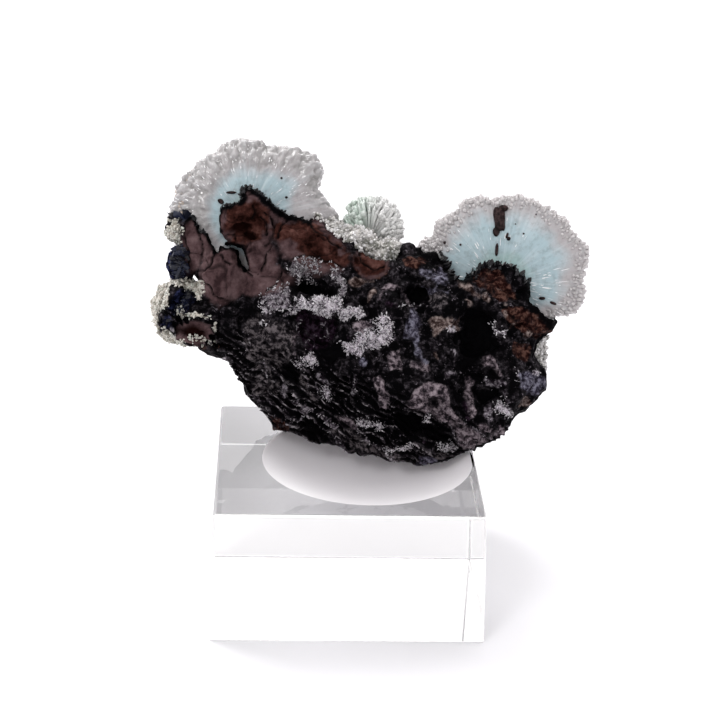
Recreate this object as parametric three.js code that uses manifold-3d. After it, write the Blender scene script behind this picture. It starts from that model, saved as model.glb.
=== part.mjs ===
// A hemimorphite specimen resting in the dish of a clear display block.
// Millimetres, +Z up. The origin is the middle of the block's underside.
//
// The specimen is laid out in a frame of its own: X runs along its width, Z up its broken
// front face, and Y goes back into the stone. That frame leans back in the dish.

import * as THREE from 'three';
import { mergeVertices } from 'three/addons/utils/BufferGeometryUtils.js';
import { RoundedBoxGeometry } from 'three/addons/geometries/RoundedBoxGeometry.js';
import { ImprovedNoise } from 'three/addons/math/ImprovedNoise.js';
import Module from 'manifold-3d';

const wasm = await Module();
wasm.setup();

// Driving dimensions of the block: an inch and a half square, three quarters of an inch high.
const BLOCK = { width: 38.1, height: 19.05, draft: 0.55, edge: 0.6 };
const DISH = { x: 3, rim: 15, depth: 4.5, rings: 4, sides: 28, collar: 5 };

// Neighbours that meet keep this much air between their faces, and edges shorter than the
// weld are closed up where solids are joined or cut.
const GAP = 0.3;
const WELD = 0.12;

// Where the specimen's frame sits over the block, and how it leans.
const SEAT = new THREE.Vector3(4.1, 10, 32.6);
const LEAN = { back: 22.1, turn: 2.8, rock: 1.8 };

// The dark rock: how far it bulges each way, its crags and ledges, and its outline seen from
// the front. Grit is a fine jaggedness on top of the crags.
const ROCK = { x: 1, z: 0, front: 8.5, back: 11.5, boxiness: 2.4, detail: 6 };
const CRAGS = { size: 5.5, depth: 3, grit: 0.4 };
const LEDGES = { height: 4.6, depth: 1.3, fall: 0.62 };
const ROCK_OUTLINE = [
  [25.2, 3.4], [23.4, 0], [24.4, -4], [23.4, -7.4], [20.2, -10.6], [18.4, -13.2],
  [15, -14.6], [11.6, -16.2], [8, -16.8], [3.4, -16.2], [-1, -15.6], [-4.4, -14.6],
  [-10.2, -13.4], [-13.2, -12], [-16.4, -9], [-19, -6.4], [-21, -2.6], [-22, 1.5],
  [-22, 5.8], [-19.6, 9.4], [-16.2, 12.6], [-12.6, 15.4], [-7.8, 17.4], [-3.6, 14.8],
  [0.4, 13.2], [5, 12.7], [9.5, 11.2], [13.6, 10], [18.2, 10.2], [22, 8],
];

// Hollows in the front face, as [x, z, radius], and how deep each sits and reaches.
const VUG = { sunk: -0.2, deep: 0.8, high: 0.85 };
const VUGS = [
  [-8.6, 2.6, 3.8], [-9.6, 9.2, 2.5], [5.8, 6.6, 3], [13.8, 1.6, 3.9],
  [-18.2, 2, 3.4], [3.4, -10.6, 3.2], [14.6, -6, 3], [-3.4, -6.2, 2.8],
];

// Lumps that grew on the rock: centre, radii, and tilt in degrees about Y. Their own crags
// are a share of their depth, and the longest ones are made with finer facets.
const LUMP_CRAGS = { size: 3, share: 0.2, grit: 0.12 };
const LONG_LUMP = 6.5;
const LUMPS = [
  { at: [-25.2, -1, 13.8], radii: [2.6, 2.4, 5.4], tilt: -16 }, // curved brown sheet
  { at: [-22, -3, 9.6], radii: [3.5, 2.6, 4], tilt: 12 }, // scalloped brown lobe
  { at: [-21, -3, 12.8], radii: [1.4, 1.7, 1.7], tilt: 0 }, // the lobe's upper scallop
  { at: [-18.6, -3.6, 18.4], radii: [4.5, 3.2, 4.4], tilt: -12 }, // folded brown box
  { at: [-15.6, -3.2, 20], radii: [4.6, 2.8, 2.4], tilt: 32 }, // the box's dark shoulder
  { at: [-16.9, -3.8, 12.6], radii: [2.7, 2.8, 4.4], tilt: 0 }, // stem below the box
  { at: [-11, -2.2, 13], radii: [6.6, 5, 5], tilt: 22 }, // brown slope
  { at: [18.2, -3.4, 8.9], radii: [4.3, 3, 3.3], tilt: 0 }, // dark knob before the right fan
  { at: [19.6, -2.4, 5], radii: [6.6, 4.8, 3], tilt: 20 }, // rusty ledge
  { at: [13.4, -3, 7.4], radii: [3.2, 3.2, 2.8], tilt: 0 }, // rusty ledge, inner end
  { at: [4.9, -0.6, 12.5], radii: [1.9, 2.2, 1.7], tilt: 0 }, // rust bump on the crest
  { at: [8.2, -0.6, 12], radii: [2.2, 2.4, 1.8], tilt: 0 }, // second rust bump
  { at: [22.2, -0.6, -5.4], radii: [3, 3.2, 3.8], tilt: 0 }, // blue-black lump, lower right
  { at: [-24, -1, 3.9], radii: [4, 3.2, 3.2], tilt: 0 }, // arm to the rosette
  { at: [-28.5, -2.2, 6.3], radii: [2.4, 2.2, 2.1], tilt: 0 }, // dark filling of a cavity
  { at: [-30, -2.2, 3.3], radii: [1.8, 1.9, 1.8], tilt: 0 }, // second dark filling
  { at: [-25.9, -3, 1.8], radii: [2.9, 2.2, 1.9], tilt: -8 }, // brown pad
  { at: [-28, -0.4, 11.4], radii: [1.8, 2.2, 2.9], tilt: 0 }, // dark blades at the edge
  { at: [-28.6, -0.4, 16.8], radii: [1.9, 1.8, 1.6], tilt: 0 }, // upper dark blades
];

// How far the two large fans reach at an angle, as [degrees, millimetres].
const LEFT_REACH = [
  [-180, 10.9], [-170, 10], [-100, 9.6], [-45, 10.2], [-20, 11.4], [-8, 12.7], [-3, 13],
  [5, 12.2], [13, 11.5], [20, 10.8], [24, 10.6], [28, 11.6], [33, 12.5], [40, 13],
  [48, 12.9], [60, 11.7], [72, 10.6], [79, 10.9], [91, 11.3], [103, 11.1], [117, 10.3],
  [129, 10.4], [144, 10.2], [157, 10.5], [168, 10.3], [180, 10.9],
];
const RIGHT_REACH = [
  [-180, 10.6], [-120, 8.4], [-60, 7.8], [-45, 8], [-35, 8.4], [-30, 8.8], [-25, 9.9],
  [-20, 11], [-14, 11.7], [-8, 11.8], [0, 11.4], [8, 11.8], [13, 12.6], [22, 13.2],
  [28, 13], [34, 12.2], [40, 12.7], [48, 12.6], [61, 12.3], [74, 12.5], [83, 12.2],
  [90, 11.8], [96, 11.6], [101, 12.1], [106, 12.7], [113, 12.3], [122, 11.8], [137, 11.9],
  [150, 12.4], [165, 11.6], [180, 10.6],
];

// The sprays: where their fibres start, their reach, how far the broken face and the grown
// back stand from the middle, where the crystals begin, and the notches between lobes in
// degrees. Each has a smaller growth beside it, its tail, with shorter crystals.
const TAIL_CRYSTAL = 0.6;
const LEFT_FAN = {
  at: [-18.8, 1.4, 18.2], reach: LEFT_REACH, face: 3.2, back: 8.2, detail: 3, crystal: 1.3,
  crystalsFrom: -1.6, notches: [-40, 23, 76, 100, 115, 135, 149, 163, 180, 215], lobing: 0.02,
  tail: { at: [-9.4, 2.4, 19.2], radii: [3.7, 2.8, 2.2], tilt: 38 },
};
const RIGHT_FAN = {
  at: [18.2, 0.6, 9], reach: RIGHT_REACH, face: 1.1, back: 7.6, detail: 3, crystal: 1.2,
  crystalsFrom: -0.2, notches: [-50, -28, -5, 12, 29, 50, 72, 95, 122, 154, 200], lobing: 0.02,
  tail: { at: [9.4, 1.6, 13.4], radii: [2.6, 2, 1.8], tilt: -30 },
};
const MIDDLE_FAN = {
  at: [-0.4, 3, 17.3], reach: [[-180, 4.6], [180, 4.6]], face: 3, back: 3, detail: 1, crystal: 0.9,
  crystalsFrom: -9, notches: [-20, 20, 60, 95, 130, 180], lobing: 0.08,
  tail: { at: [-2.4, 2.6, 15], radii: [2.2, 2, 1.8] },
};

// A crystal's height as shares of the height asked for, from the least to the most.
const LEAST = 0.5;
const MOST = 1.2;

// Round growths of the crusts, in the same form as the lumps, and their crystals' height.
// A crystal is buried where its foot is within this share of another growth's radii.
const CRUST_CRYSTAL = 1.1;
const BURIED = 0.9;
const CREST = [
  { at: [-7.2, 1.4, 16.2], radii: [2.8, 3, 2] },
  { at: [-3.2, -0.4, 14.8], radii: [3.2, 2.2, 1.8] },
  { at: [1.4, -0.4, 13.2], radii: [3, 2.2, 1.7] },
  { at: [-4.8, 5.4, 13.4], radii: [5, 4, 3.6] },
  { at: [-8.4, 9.2, 9], radii: [6.2, 4.2, 5.4] },
  { at: [5.2, 9.2, 5.8], radii: [6.4, 4.4, 5.2] },
  { at: [-1, 11, 3], radii: [5, 3.2, 5.4] },
];
const ROSETTE = [
  { at: [-28, 0, 4.9], radii: [4.3, 2.9, 4.4] },
  { at: [-26.8, 0, 2.2], radii: [4.6, 2.8, 1.8] },
  { at: [-24.4, -0.6, 6.6], radii: [2.4, 2.4, 2.2] },
];
const SIDE = [{ at: [23.4, 1.2, -0.9], radii: [1.9, 2.4, 2.6] }];

const noise = new ImprovedNoise();
const degrees = THREE.MathUtils.degToRad;

// A repeatable stream of numbers from 0 to 1.
function stream(seed) {
  let state = seed;
  return () => {
    state = (state * 1664525 + 1013904223) % 4294967296;
    return state / 4294967296;
  };
}

// A closed geometry as a solid for cutting and joining.
function solidOf(geometry) {
  const bare = new THREE.BufferGeometry();
  bare.setAttribute('position', geometry.getAttribute('position').clone());
  if (geometry.index) bare.setIndex(geometry.index.clone());
  const merged = mergeVertices(bare, 1e-4);
  return new wasm.Manifold(new wasm.Mesh({
    numProp: 3,
    tolerance: WELD,
    vertProperties: new Float32Array(merged.attributes.position.array),
    triVerts: new Uint32Array(merged.index.array),
  }));
}

// The largest body of a solid, as a geometry.
function geometryOf(solid) {
  const bodies = solid.decompose();
  const largest = bodies.reduce((a, b) => (b.volume() > a.volume() ? b : a));
  const mesh = largest.getMesh();
  const geometry = new THREE.BufferGeometry();
  geometry.setAttribute('position', new THREE.BufferAttribute(mesh.vertProperties, 3));
  geometry.setIndex(new THREE.BufferAttribute(mesh.triVerts, 1));
  const flat = geometry.toNonIndexed();
  flat.computeVertexNormals();
  return flat;
}

function join(solids) {
  return solids.reduce((all, next) => all.add(next));
}

// Moves every vertex of a geometry to what place(vertex) returns.
function reshape(geometry, place) {
  const position = geometry.getAttribute('position');
  const vertex = new THREE.Vector3();
  for (let i = 0; i < position.count; i += 1) {
    vertex.fromBufferAttribute(position, i);
    const moved = place(vertex);
    position.setXYZ(i, moved.x, moved.y, moved.z);
  }
  return geometry;
}

// A value from -1 to 1 that differs wildly from one direction to the next.
function speckle(v) {
  return THREE.MathUtils.clamp(2 * noise.noise(37 * v.x, 41 * v.y, 43 * v.z), -1, 1);
}

// Two octaves of Perlin noise, folded so that it makes ridges and pits.
function ridges(point, size) {
  const x = point.x / size;
  const y = point.y / size;
  const z = point.z / size;
  const coarse = 1 - 2 * Math.abs(noise.noise(x, y, z));
  const fine = 1 - 2 * Math.abs(noise.noise(2.3 * x + 7, 2.3 * y, 2.3 * z));
  return 0.65 * coarse + 0.35 * fine - 0.45;
}

// A rough ellipsoid, grown outwards by grow.
function lumpShape({ at, radii, tilt = 0 }, grow, grit) {
  const turn = new THREE.Matrix4().makeRotationY(degrees(tilt));
  const centre = new THREE.Vector3(...at);
  const shape = new THREE.IcosahedronGeometry(1, Math.max(...radii) > LONG_LUMP ? 2 : 1);
  return reshape(shape, (v) => {
    const p = new THREE.Vector3(v.x * radii[0], v.y * radii[1], v.z * radii[2]);
    p.applyMatrix4(turn).add(centre);
    const crags = LUMP_CRAGS.share * ridges(p, LUMP_CRAGS.size) + grit * speckle(v);
    const out = grow + radii[1] * crags;
    return p.addScaledVector(v.clone().applyMatrix4(turn), out);
  });
}

// A lump of the rock.
function lump(form, grow) {
  return solidOf(lumpShape(form, grow, LUMP_CRAGS.grit));
}

// Ledges that run down across the front face: each juts out, then drops back at its foot.
function ledge(p) {
  const down = (p.z + LEDGES.fall * p.x) / LEDGES.height;
  const share = down - Math.floor(down);
  return LEDGES.depth * (0.5 - share);
}

// The outline's distance from the rock's middle at any angle, from a closed curve.
function outlineReach() {
  const points = ROCK_OUTLINE.map(([x, z]) => new THREE.Vector3(x, 0, z));
  const curve = new THREE.CatmullRomCurve3(points, true, 'centripetal');
  const samples = curve.getSpacedPoints(720).map((p) => {
    const x = p.x - ROCK.x;
    const z = p.z - ROCK.z;
    return { angle: Math.atan2(z, x), reach: Math.hypot(x, z) };
  });
  return (angle) => samples.reduce((best, s) => {
    const off = Math.abs(Math.atan2(Math.sin(s.angle - angle), Math.cos(s.angle - angle)));
    return off < best.off ? { off, reach: s.reach } : best;
  }, { off: Infinity, reach: 0 }).reach;
}
const reachAt = outlineReach();

// How far before the rock's middle plane its front face lies at a place.
function frontDepth(x, z) {
  const across = Math.hypot(x - ROCK.x, z - ROCK.z);
  const share = across / reachAt(Math.atan2(z - ROCK.z, x - ROCK.x));
  const power = ROCK.boxiness;
  return -ROCK.front * Math.max(0, 1 - share ** power) ** (1 / power);
}

// The main mass: an ellipsoid squared off a little, stretched out to the outline.
function mainMass(grow) {
  const shape = new THREE.IcosahedronGeometry(1, ROCK.detail);
  const power = ROCK.boxiness;
  return solidOf(reshape(shape, (v) => {
    const across = Math.hypot(v.x, v.z);
    const square = (across ** power + Math.abs(v.y) ** power) ** (-1 / power);
    const reach = across > 1e-6 ? reachAt(Math.atan2(v.z, v.x)) / across : 0;
    const p = new THREE.Vector3(
      ROCK.x + v.x * reach * across * square,
      v.y * square * (v.y < 0 ? ROCK.front : ROCK.back),
      ROCK.z + v.z * reach * across * square,
    );
    const crags = CRAGS.depth * ridges(p, CRAGS.size) + CRAGS.grit * speckle(v);
    const out = grow + crags + Math.max(0, -v.y) * ledge(p);
    return p.addScaledVector(v, out);
  }));
}

// The rock with its lumps and vugs. Grown a little, it is the tool that cuts the crystals.
function rock(grow) {
  const whole = join([mainMass(grow), ...LUMPS.map((each) => lump(each, grow))]);
  if (grow > 0) return whole;
  const vugs = VUGS.map(([x, z, radius]) => {
    const at = [x, frontDepth(x, z) + radius * VUG.sunk, z];
    return lump({ at, radii: [radius, radius * VUG.deep, radius * VUG.high] }, 0);
  });
  return whole.subtract(join(vugs));
}

// Stands a three-sided crystal on each facet whose middle passes the test.
function stud(geometry, height, seed, test) {
  const random = stream(seed);
  const from = geometry.getAttribute('position');
  const corners = [];
  for (let i = 0; i < from.count; i += 3) {
    const [a, b, c] = [0, 1, 2].map((k) => new THREE.Vector3().fromBufferAttribute(from, i + k));
    const weights = [1 + random(), 1 + random(), 1 + random()];
    const tip = new THREE.Vector3();
    [a, b, c].forEach((corner, k) => tip.addScaledVector(corner, weights[k]));
    tip.divideScalar(weights[0] + weights[1] + weights[2]);
    const facing = b.clone().sub(a).cross(c.clone().sub(a)).normalize();
    const tall = height * (LEAST + (MOST - LEAST) * random());
    if (test(tip)) {
      tip.addScaledVector(facing, tall);
      corners.push(a, b, tip, b, c, tip, c, a, tip);
    } else {
      corners.push(a, b, c);
    }
  }
  return new THREE.BufferGeometry().setFromPoints(corners);
}

// 1 in the middle of a lobe and 0 at the notch beside it.
function lobe(angle, notches) {
  const turned = ((THREE.MathUtils.radToDeg(angle) - notches[0] + 720) % 360) + notches[0];
  const ends = [...notches, notches[0] + 360];
  const next = ends.findIndex((end) => end > turned);
  const share = (turned - ends[next - 1]) / (ends[next] - ends[next - 1]);
  return Math.sin(Math.PI * share);
}

// A fan's reach at an angle, between the two nearest listed ones.
function reachOf(fan, angle) {
  const turned = THREE.MathUtils.radToDeg(angle);
  const next = Math.max(1, fan.reach.findIndex(([end]) => end >= turned));
  const [[from, near], [to, far]] = [fan.reach[next - 1], fan.reach[next]];
  const listed = near + ((far - near) * (turned - from)) / (to - from);
  return listed * (1 - fan.lobing * (1 - lobe(angle, fan.notches)));
}

// A spray: a lobed disc with a nearly flat face and a domed back full of crystals.
function spray(fan, seed) {
  const ball = new THREE.IcosahedronGeometry(1, fan.detail);
  const body = reshape(ball, (v) => {
    const angle = Math.atan2(v.z, v.x);
    const reach = reachOf(fan, angle);
    const depth = v.y < 0 ? fan.face : fan.back;
    return new THREE.Vector3(
      fan.at[0] + v.x * reach,
      fan.at[1] + v.y * depth,
      fan.at[2] + v.z * reach,
    );
  });
  const studded = stud(body, fan.crystal, seed, (tip) => tip.y > fan.at[1] + fan.crystalsFrom);
  const tail = stud(lumpShape(fan.tail, 0, 0), fan.crystal * TAIL_CRYSTAL, seed, () => true);
  return solidOf(studded).add(solidOf(tail));
}

// Whether a point lies outside an ellipsoid.
function outside({ at, radii }, point) {
  const size = new THREE.Vector3(...radii);
  return point.clone().sub(new THREE.Vector3(...at)).divide(size).length() > BURIED;
}

// Round growths joined in one crust, with crystals wherever they aren't buried in each other.
function crust(growths, seed) {
  return join(growths.map((growth, i) => {
    const others = growths.filter((other) => other !== growth);
    const open = (tip) => others.every((other) => outside(other, tip));
    return solidOf(stud(lumpShape(growth, 0, 0), CRUST_CRYSTAL, seed + i, open));
  }));
}

// The square block, a little narrower at the top, with a ball-shaped dish in it.
function displayBlock(lift) {
  const { width, height, draft, edge } = BLOCK;
  const box = new RoundedBoxGeometry(width, width, height, 2, edge);
  reshape(box, (v) => {
    const high = v.z / height + 0.5;
    const taper = 1 - (2 * draft * high) / width;
    return new THREE.Vector3(v.x * taper, v.y * taper, v.z + height / 2);
  });
  if (lift > 0) box.scale(1 + (2 * lift) / width, 1 + (2 * lift) / width, 1 + lift / height);
  return solidOf(box).subtract(dishTool(lift));
}

// The ball cap that scoops the dish out, closed by a short collar above the block.
function dishTool(lift) {
  const radius = (DISH.rim ** 2 + DISH.depth ** 2) / (2 * DISH.depth);
  const spin = Math.asin(DISH.rim / radius);
  const middle = BLOCK.height - DISH.depth + radius;
  const profile = [];
  for (let i = 0; i <= DISH.rings; i += 1) {
    const angle = (spin * i) / DISH.rings;
    const reach = radius - lift;
    profile.push(new THREE.Vector2(reach * Math.sin(angle), middle - reach * Math.cos(angle)));
  }
  const rim = profile[DISH.rings];
  const top = BLOCK.height + DISH.collar;
  profile.push(new THREE.Vector2(rim.x, top), new THREE.Vector2(0, top));
  const shape = new THREE.LatheGeometry(profile, DISH.sides).rotateX(Math.PI / 2);
  return solidOf(shape.translate(DISH.x, 0, 0));
}

// Finishes of the pieces.
const finishes = {
  acrylic: new THREE.MeshStandardMaterial({ color: 0xf2f2f4, roughness: 0.05, metalness: 0 }),
  rock: new THREE.MeshStandardMaterial({ color: 0x2a2324, roughness: 0.75, metalness: 0 }),
  blue: new THREE.MeshStandardMaterial({ color: 0xc2dee2, roughness: 0.3, metalness: 0 }),
  green: new THREE.MeshStandardMaterial({ color: 0xc3cfc6, roughness: 0.25, metalness: 0 }),
  white: new THREE.MeshStandardMaterial({ color: 0xd8d4d4, roughness: 0.35, metalness: 0 }),
  tan: new THREE.MeshStandardMaterial({ color: 0xb7ab99, roughness: 0.4, metalness: 0 }),
};

function named(name, solid, finish) {
  const mesh = new THREE.Mesh(geometryOf(solid), finish);
  mesh.name = name;
  return mesh;
}

// The specimen's frame over the block.
const specimen = new THREE.Group();
specimen.position.copy(SEAT);
specimen.rotation.set(degrees(-LEAN.back), degrees(-LEAN.rock), degrees(-LEAN.turn), 'ZXY');
specimen.updateMatrix();

// What the stone may not enter: the block with its dish, seen from the specimen's frame.
const inverse = specimen.matrix.clone().invert();
const keepOut = solidOf(geometryOf(displayBlock(GAP)).applyMatrix4(inverse));

// Each piece is cut clear of the pieces that it meets, by their shapes grown a little.
const stoneRoom = rock(GAP);
const crustGrowths = [...CREST, ...ROSETTE, ...SIDE];
const crustReach = MOST * CRUST_CRYSTAL + GAP;
const crustRoom = join(crustGrowths.map((growth) => solidOf(lumpShape(growth, crustReach, 0))));
const room = stoneRoom.add(crustRoom);

const stone = rock(0).subtract(keepOut);
const crest = crust(CREST, 41).subtract(stoneRoom);
const rosette = crust(ROSETTE, 53).subtract(stoneRoom);
const side = crust(SIDE, 67).subtract(stoneRoom);
const leftFan = spray(LEFT_FAN, 11).subtract(room);
const rightFan = spray(RIGHT_FAN, 23).subtract(room);
const middleFan = spray(MIDDLE_FAN, 37).subtract(room);

specimen.add(named('matrix_rock', stone, finishes.rock));
specimen.add(named('left_fan', leftFan, finishes.blue));
specimen.add(named('right_fan', rightFan, finishes.blue));
specimen.add(named('middle_fan', middleFan, finishes.green));
specimen.add(named('crest_crust', crest, finishes.white));
specimen.add(named('left_rosette', rosette, finishes.tan));
specimen.add(named('side_cluster', side, finishes.white));

const model = new THREE.Group();
model.add(named('display_block', displayBlock(0), finishes.acrylic));
model.add(specimen);

export default model;
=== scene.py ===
# %% [markdown]
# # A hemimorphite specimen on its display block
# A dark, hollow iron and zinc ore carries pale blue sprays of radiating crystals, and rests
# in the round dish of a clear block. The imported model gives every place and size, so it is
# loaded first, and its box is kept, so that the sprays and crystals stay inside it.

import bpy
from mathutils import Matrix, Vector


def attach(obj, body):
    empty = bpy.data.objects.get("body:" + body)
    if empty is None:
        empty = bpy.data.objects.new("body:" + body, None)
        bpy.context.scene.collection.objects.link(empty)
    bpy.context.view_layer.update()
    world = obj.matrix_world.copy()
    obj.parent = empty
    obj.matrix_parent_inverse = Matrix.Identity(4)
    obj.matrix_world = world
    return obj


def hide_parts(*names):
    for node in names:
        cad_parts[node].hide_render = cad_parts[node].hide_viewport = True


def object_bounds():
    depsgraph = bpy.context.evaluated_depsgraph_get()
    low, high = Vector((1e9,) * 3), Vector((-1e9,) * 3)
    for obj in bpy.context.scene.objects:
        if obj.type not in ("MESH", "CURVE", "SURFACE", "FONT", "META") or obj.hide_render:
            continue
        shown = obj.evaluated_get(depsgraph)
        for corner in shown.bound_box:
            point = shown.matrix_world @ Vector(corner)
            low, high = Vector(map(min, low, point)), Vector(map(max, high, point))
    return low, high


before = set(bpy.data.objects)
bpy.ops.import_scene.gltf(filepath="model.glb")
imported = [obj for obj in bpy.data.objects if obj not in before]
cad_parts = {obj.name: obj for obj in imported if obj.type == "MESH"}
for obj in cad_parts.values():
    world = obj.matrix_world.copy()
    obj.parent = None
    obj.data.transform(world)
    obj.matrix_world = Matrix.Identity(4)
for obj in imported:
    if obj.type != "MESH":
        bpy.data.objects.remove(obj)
cad_box = [list(corner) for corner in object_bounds()]
print("CAD box in metres:", cad_box)

# %% [markdown]
# ## The specimen's own frame
# The stone leans back in the dish. All its forms are worked out in an upright frame of their
# own, in millimetres: X runs across, Z goes up the broken front face and Y into the stone.
# Three turns and a shift carry that frame into the model's, so a shape never has to be
# written down tilted.

# %% Turns between the two frames
import math

import bmesh
import bpy
import numpy as np
from mathutils import Matrix, Vector
from mathutils.bvhtree import BVHTree

MM = 0.001
SEAT = np.array([4.1, 10.0, 32.6])
LEAN = {"back": 22.1, "turn": 2.8, "rock": 1.8}


def turning(axis, degrees):
    """The rotation about one axis as a 3 x 3 array."""
    return np.array(Matrix.Rotation(math.radians(degrees), 3, axis))


TURN = turning("Z", -LEAN["turn"]) @ turning("X", -LEAN["back"]) @ turning("Y", -LEAN["rock"])


def to_model(points):
    """Specimen millimetres to model metres: turn, then shift to the seat."""
    return (np.asarray(points) @ TURN.T + SEAT) * MM


def to_specimen(points):
    """Model metres back to specimen millimetres."""
    return (np.asarray(points) / MM - SEAT) @ TURN


print("The specimen's up axis in the model:", TURN[:, 2].round(3))

# %% [markdown]
# ## Camera
# The photograph looks down on the block at about 22 degrees from a quarter of a metre away.
# The place and lens were found by fitting the block's corners, so the camera is set by its
# own axes: forward, right and up.

# %% Camera
CAMERA = {"at": (-10.69, -252.6, 137.12), "down": 22.13, "right": 2.76, "roll": 1.82,
          "nearest": 10}
LENS = 97.15
SENSOR = 36.0


def add_to_scene(thing):
    """Puts an object in the scene."""
    bpy.context.scene.collection.objects.link(thing)


def make_camera():
    """A camera matrix has the right, up and backward directions as its columns."""
    down, side, roll = (math.radians(CAMERA[k]) for k in ("down", "right", "roll"))
    flat = math.cos(down)
    forward = Vector((math.sin(side) * flat, math.cos(side) * flat, -math.sin(down)))
    level = Vector((math.cos(side), -math.sin(side), 0))
    upward = level.cross(forward)
    right = level * math.cos(roll) + upward * math.sin(roll)
    up = upward * math.cos(roll) - level * math.sin(roll)
    lens = bpy.data.cameras.new("camera")
    lens.lens = LENS
    lens.sensor_width = SENSOR
    lens.clip_start = CAMERA["nearest"] * MM
    camera = bpy.data.objects.new("camera", lens)
    pose = Matrix((right, up, -forward)).transposed().to_4x4()
    pose.translation = Vector(CAMERA["at"]) * MM
    camera.matrix_world = pose
    add_to_scene(camera)
    bpy.context.scene.camera = camera
    return camera


camera = make_camera()
print("Camera at", [round(c, 4) for c in camera.matrix_world.translation])

# %% [markdown]
# ## Meshes from arrays
# A grid of points worked out by a formula becomes a surface once its quads are listed, and
# thousands of small crystals become one mesh when the faces of one crystal are repeated with
# an offset. Both go into Blender as whole arrays, which is fast and leaves no loop over
# vertices.

# %% From arrays to a piece
MARGIN = 0.02


def grid_faces(rows, columns):
    """Quads of a grid whose columns close up: each joins two neighbours of two rows."""
    row, column = np.meshgrid(np.arange(rows - 1), np.arange(columns), indexing="ij")
    here = row * columns + column
    beside = row * columns + (column + 1) % columns
    quads = np.stack([here, beside, beside + columns, here + columns], -1)
    return quads.reshape(-1, 4)


def capped_faces(rows, columns):
    """A closed grid with one point more before it and one after it, as its two poles."""
    quads = grid_faces(rows, columns) + 1
    ring = np.arange(columns)
    around = (ring + 1) % columns
    first = np.stack([np.zeros(columns, int), around + 1, ring + 1], -1)
    base = 1 + (rows - 1) * columns
    last = np.stack([np.full(columns, rows * columns + 1), base + ring, base + around], -1)
    return [quads, first, last]


def build_mesh(name, points, groups, smooth=True):
    """A mesh from points in metres and arrays of faces, each array with its own width."""
    mesh = bpy.data.meshes.new(name)
    mesh.vertices.add(len(points))
    mesh.vertices.foreach_set("co", np.asarray(points, np.float32).ravel())
    widths = np.concatenate([np.full(len(g), g.shape[1]) for g in groups])
    corners = np.concatenate([g.ravel() for g in groups])
    mesh.loops.add(len(corners))
    mesh.loops.foreach_set("vertex_index", corners.astype(np.int32))
    mesh.polygons.add(len(widths))
    starts = np.concatenate([[0], np.cumsum(widths)[:-1]])
    mesh.polygons.foreach_set("loop_start", starts.astype(np.int32))
    mesh.update(calc_edges=True)
    mesh.polygons.foreach_set("use_smooth", np.full(len(widths), smooth))
    mesh.validate()
    return mesh


def boxed(points):
    """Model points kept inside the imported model's own box, which the largest tips touch."""
    low, high = np.array(cad_box)
    return np.clip(points, low + MARGIN * MM, high - MARGIN * MM)


def give(mesh, **values):
    """Stores one number for each vertex, to be read by the mesh's material."""
    for name, numbers in values.items():
        layer = mesh.attributes.new(name, "FLOAT", "POINT")
        layer.data.foreach_set("value", np.asarray(numbers, np.float32))


def make_piece(name, mesh, material, slot, *nodes):
    """The object of a mesh: it rides on the stone's body and may stand for CAD nodes."""
    piece = bpy.data.objects.new(name, mesh)
    add_to_scene(piece)
    mesh.materials.clear()
    mesh.materials.append(material)
    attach(piece, "root")
    if nodes:
        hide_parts(*nodes)
    triangles = sum(len(face.vertices) - 2 for face in mesh.polygons)
    print(f"{name}: {triangles} triangles")
    return piece


def move_to(mesh, points):
    """Gives a mesh's vertices new places, in specimen terms."""
    mesh.vertices.foreach_set("co", to_model(points).astype(np.float32).ravel())
    mesh.update()


def mesh_arrays(mesh):
    """The vertices of a mesh and their normals, as arrays."""
    points = np.empty(len(mesh.vertices) * 3, np.float32)
    mesh.vertices.foreach_get("co", points)
    normals = np.empty(len(mesh.vertices) * 3, np.float32)
    mesh.vertex_normals.foreach_get("vector", normals)
    return points.reshape(-1, 3).astype(float), normals.reshape(-1, 3).astype(float)


# %% [markdown]
# ## Noise for stone
# Broken ore has crags, pits and rounded bubbles at every scale. A value from -1 to 1 at each
# corner of a lattice, blended smoothly between corners, gives the crags; the distance to the
# nearest of many scattered points gives bubbles. Both are plain arithmetic on arrays, so the
# same stone comes out every time.

# %% Noise
STRIDES = (374761393, 668265263, 2147483629, 1274126177)
MIXERS = (1274126177, 2246822519)
WHOLE_WORD = 0xFFFFFFFF
LOW_BITS = 0xFFFFFF
FAR = 9.0


def scramble(x, y, z, seed):
    """Turns three whole numbers and a seed into one number from 0 to 1 by mixing bits."""
    mixed = x * STRIDES[0] + y * STRIDES[1] + z * STRIDES[2] + seed * STRIDES[3]
    mixed = mixed & WHOLE_WORD
    mixed = ((mixed ^ (mixed >> 13)) * MIXERS[0]) & WHOLE_WORD
    mixed = ((mixed ^ (mixed >> 16)) * MIXERS[1]) & WHOLE_WORD
    return ((mixed ^ (mixed >> 15)) & LOW_BITS) / LOW_BITS


def waves(points, size, seed=0):
    """Lattice noise: eight corner values, blended with the curve 6t^5 - 15t^4 + 10t^3."""
    spot = points / size
    cell = np.floor(spot).astype(np.int64)
    t = spot - cell
    t = t * t * t * (t * (t * 6 - 15) + 10)
    total = np.zeros(len(points))
    for corner in np.ndindex(2, 2, 2):
        shares = np.where(np.array(corner) == 1, t, 1 - t).prod(axis=1)
        x, y, z = (cell + corner).T
        total += shares * scramble(x, y, z, seed)
    return 2 * total - 1


def layers(points, size, octaves, seed=0, folded=False):
    """Noise in octaves: each is half as large and adds half as much."""
    total = np.zeros(len(points))
    for octave in range(octaves):
        wave = waves(points, size / 2**octave, seed + octave)
        total += (1 - 2 * np.abs(wave) if folded else wave) / 2**octave
    return total / (2 - 2 ** (1 - octaves))


def creases(points, size, octaves, seed=0):
    """Folded noise, 1 on sharp crests and -1 in wide hollows between them."""
    return layers(points, size, octaves, seed, folded=True)


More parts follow.
